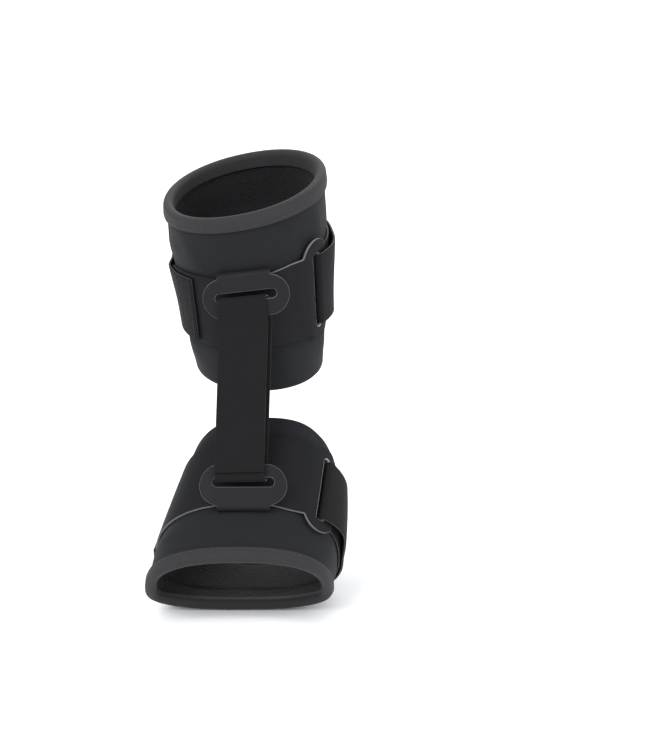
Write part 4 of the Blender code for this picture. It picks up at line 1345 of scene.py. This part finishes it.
class SPLINT_OT_sewing(bpy.types.Operator):
    """Sew the edge bands and the straps' fixed ends"""

    bl_idname = "splint.sewing"
    bl_label = "Sewing"

    def execute(self, context):
        tree = stitch_tree()
        radius = context.scene.splint_stitches.thread_radius
        turns = np.linspace(-0.5, 0.5, 361)[:-1]
        for name, bound_last in (("calf", False), ("foot", True)):
            cuff = surfaces()[name].cuff
            seam = BINDING_WIDTH - 1.5 * MM
            seam = cuff.length - seam if bound_last else seam
            line = cuff.at_turn(turns, seam, CLEARANCE + BINDING_WALL + radius * 0.6)
            piece = make_stitches(name + "_band_stitches", [(line, True)], tree)
            settle(piece, None)
        rows = (("calf", CALF_STRAP_START), ("foot", FOOT_STRAP_START))
        for name, start in rows:
            place = surfaces()[name]
            high = place.fold_along + place.outward * (SEWN_OUTER - (STRAP_SLOT - STRAP_WIDTH) / 2)
            off = STRAP_OVER_WING + WEBBING_WALL / 2 + radius * 0.6
            inset = 2.2 * MM
            down = np.linspace(inset, STRAP_WIDTH - inset, 24)
            near = place.cuff.at(-start - inset, high - place.outward * down, off)
            far = place.cuff.at(-start - 6 * inset, high - place.outward * down, off)
            piece = make_stitches(name + "_strap_stitches", [(near, False), (far, False)], tree)
            settle(piece, None)
        return {"FINISHED"}


class SPLINT_OT_stage(bpy.types.Operator):
    """Set the floor, the soft lights and the camera"""

    bl_idname = "splint.stage"
    bl_label = "Stage"

    def execute(self, context):
        given = context.scene.splint_stage
        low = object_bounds()[0]
        height = low[2] - 0.5 * MM
        mesh = bpy.data.meshes.new("floor")
        span = 6.0
        corners = [(-span, -span, height), (span, -span, height), (span, span, height), (-span, span, height)]
        mesh.from_pydata(corners, [], [(0, 1, 2, 3)])
        mesh.materials.append(plain_paper("splint_floor", tuple(given.floor_colour)))
        floor = bpy.data.objects.new("floor", mesh)
        context.scene.collection.objects.link(floor)
        floor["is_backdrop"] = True
        world = bpy.data.worlds.new("studio")
        world.use_nodes = True
        world.node_tree.nodes["Background"].inputs["Color"].default_value = (0.92, 0.94, 0.97, 1)
        world.node_tree.nodes["Background"].inputs["Strength"].default_value = 1.02
        context.scene.world = world
        context.scene.view_settings.view_transform = "Standard"
        target = Vector((0.0433, -0.040, -0.036))
        lights = (
            ("main", (-0.9, -1.3, 1.3), 1.1, given.key_strength),
            ("fill", (1.4, -0.9, 0.7), 1.2, given.fill_strength),
            ("back", (0.3, 1.4, 1.1), 1.0, given.back_strength),
        )
        for name, place, size, power in lights:
            data = bpy.data.lights.new(name, "AREA")
            data.shape = "SQUARE"
            data.size = size
            data.energy = power
            light = bpy.data.objects.new(name, data)
            light.location = place
            light.rotation_euler = (target - Vector(place)).to_track_quat("-Z", "Y").to_euler()
            context.scene.collection.objects.link(light)
        data = bpy.data.cameras.new("camera")
        data.lens = given.camera_lens
        data.sensor_width = 36.0
        data.clip_start = 0.05
        camera = bpy.data.objects.new("camera", data)
        tilt = given.camera_height
        back = Vector((0.0, -math.cos(tilt), math.sin(tilt)))
        camera.location = target + back * given.camera_distance
        camera.rotation_euler = (-back).to_track_quat("-Z", "Y").to_euler()
        context.scene.collection.objects.link(camera)
        context.scene.camera = camera
        return {"FINISHED"}


class SPLINT_PT_sidebar(bpy.types.Panel):
    """The splint's sizes, colours and steps"""

    bl_label = "Night Splint"
    bl_idname = "SPLINT_PT_sidebar"
    bl_space_type = "VIEW_3D"
    bl_region_type = "UI"
    bl_category = "Splint"

    def draw(self, context):
        layout = self.layout
        for group in (context.scene.splint_cloth, context.scene.splint_stitches, context.scene.splint_stage):
            box = layout.box()
            for key in group.bl_rna.properties.keys():
                if key not in ("rna_type", "name"):
                    box.prop(group, key)
        for step in STEPS:
            layout.operator(step.bl_idname)


GROUPS = (
    ("splint_cloth", SplintCloth),
    ("splint_stitches", SplintStitches),
    ("splint_stage", SplintStage),
)
STEPS = (
    SPLINT_OT_cuffs,
    SPLINT_OT_bands,
    SPLINT_OT_overlays,
    SPLINT_OT_tabs,
    SPLINT_OT_side_straps,
    SPLINT_OT_front_strap,
    SPLINT_OT_sewing,
    SPLINT_OT_stage,
)


def register():
    for name, group in GROUPS:
        bpy.utils.register_class(group)
        setattr(bpy.types.Scene, name, bpy.props.PointerProperty(type=group))
    for step in STEPS:
        bpy.utils.register_class(step)
    bpy.utils.register_class(SPLINT_PT_sidebar)


def unregister():
    bpy.utils.unregister_class(SPLINT_PT_sidebar)
    for step in reversed(STEPS):
        bpy.utils.unregister_class(step)
    for name, group in reversed(GROUPS):
        delattr(bpy.types.Scene, name)
        bpy.utils.unregister_class(group)


def main():
    register()
    bpy.ops.splint.cuffs()
    bpy.ops.splint.bands()
    bpy.ops.splint.overlays()
    bpy.ops.splint.tabs()
    bpy.ops.splint.side_straps()
    bpy.ops.splint.front_strap()
    bpy.ops.splint.sewing()
    bpy.ops.splint.stage()


if __name__ == "__main__":
    main()
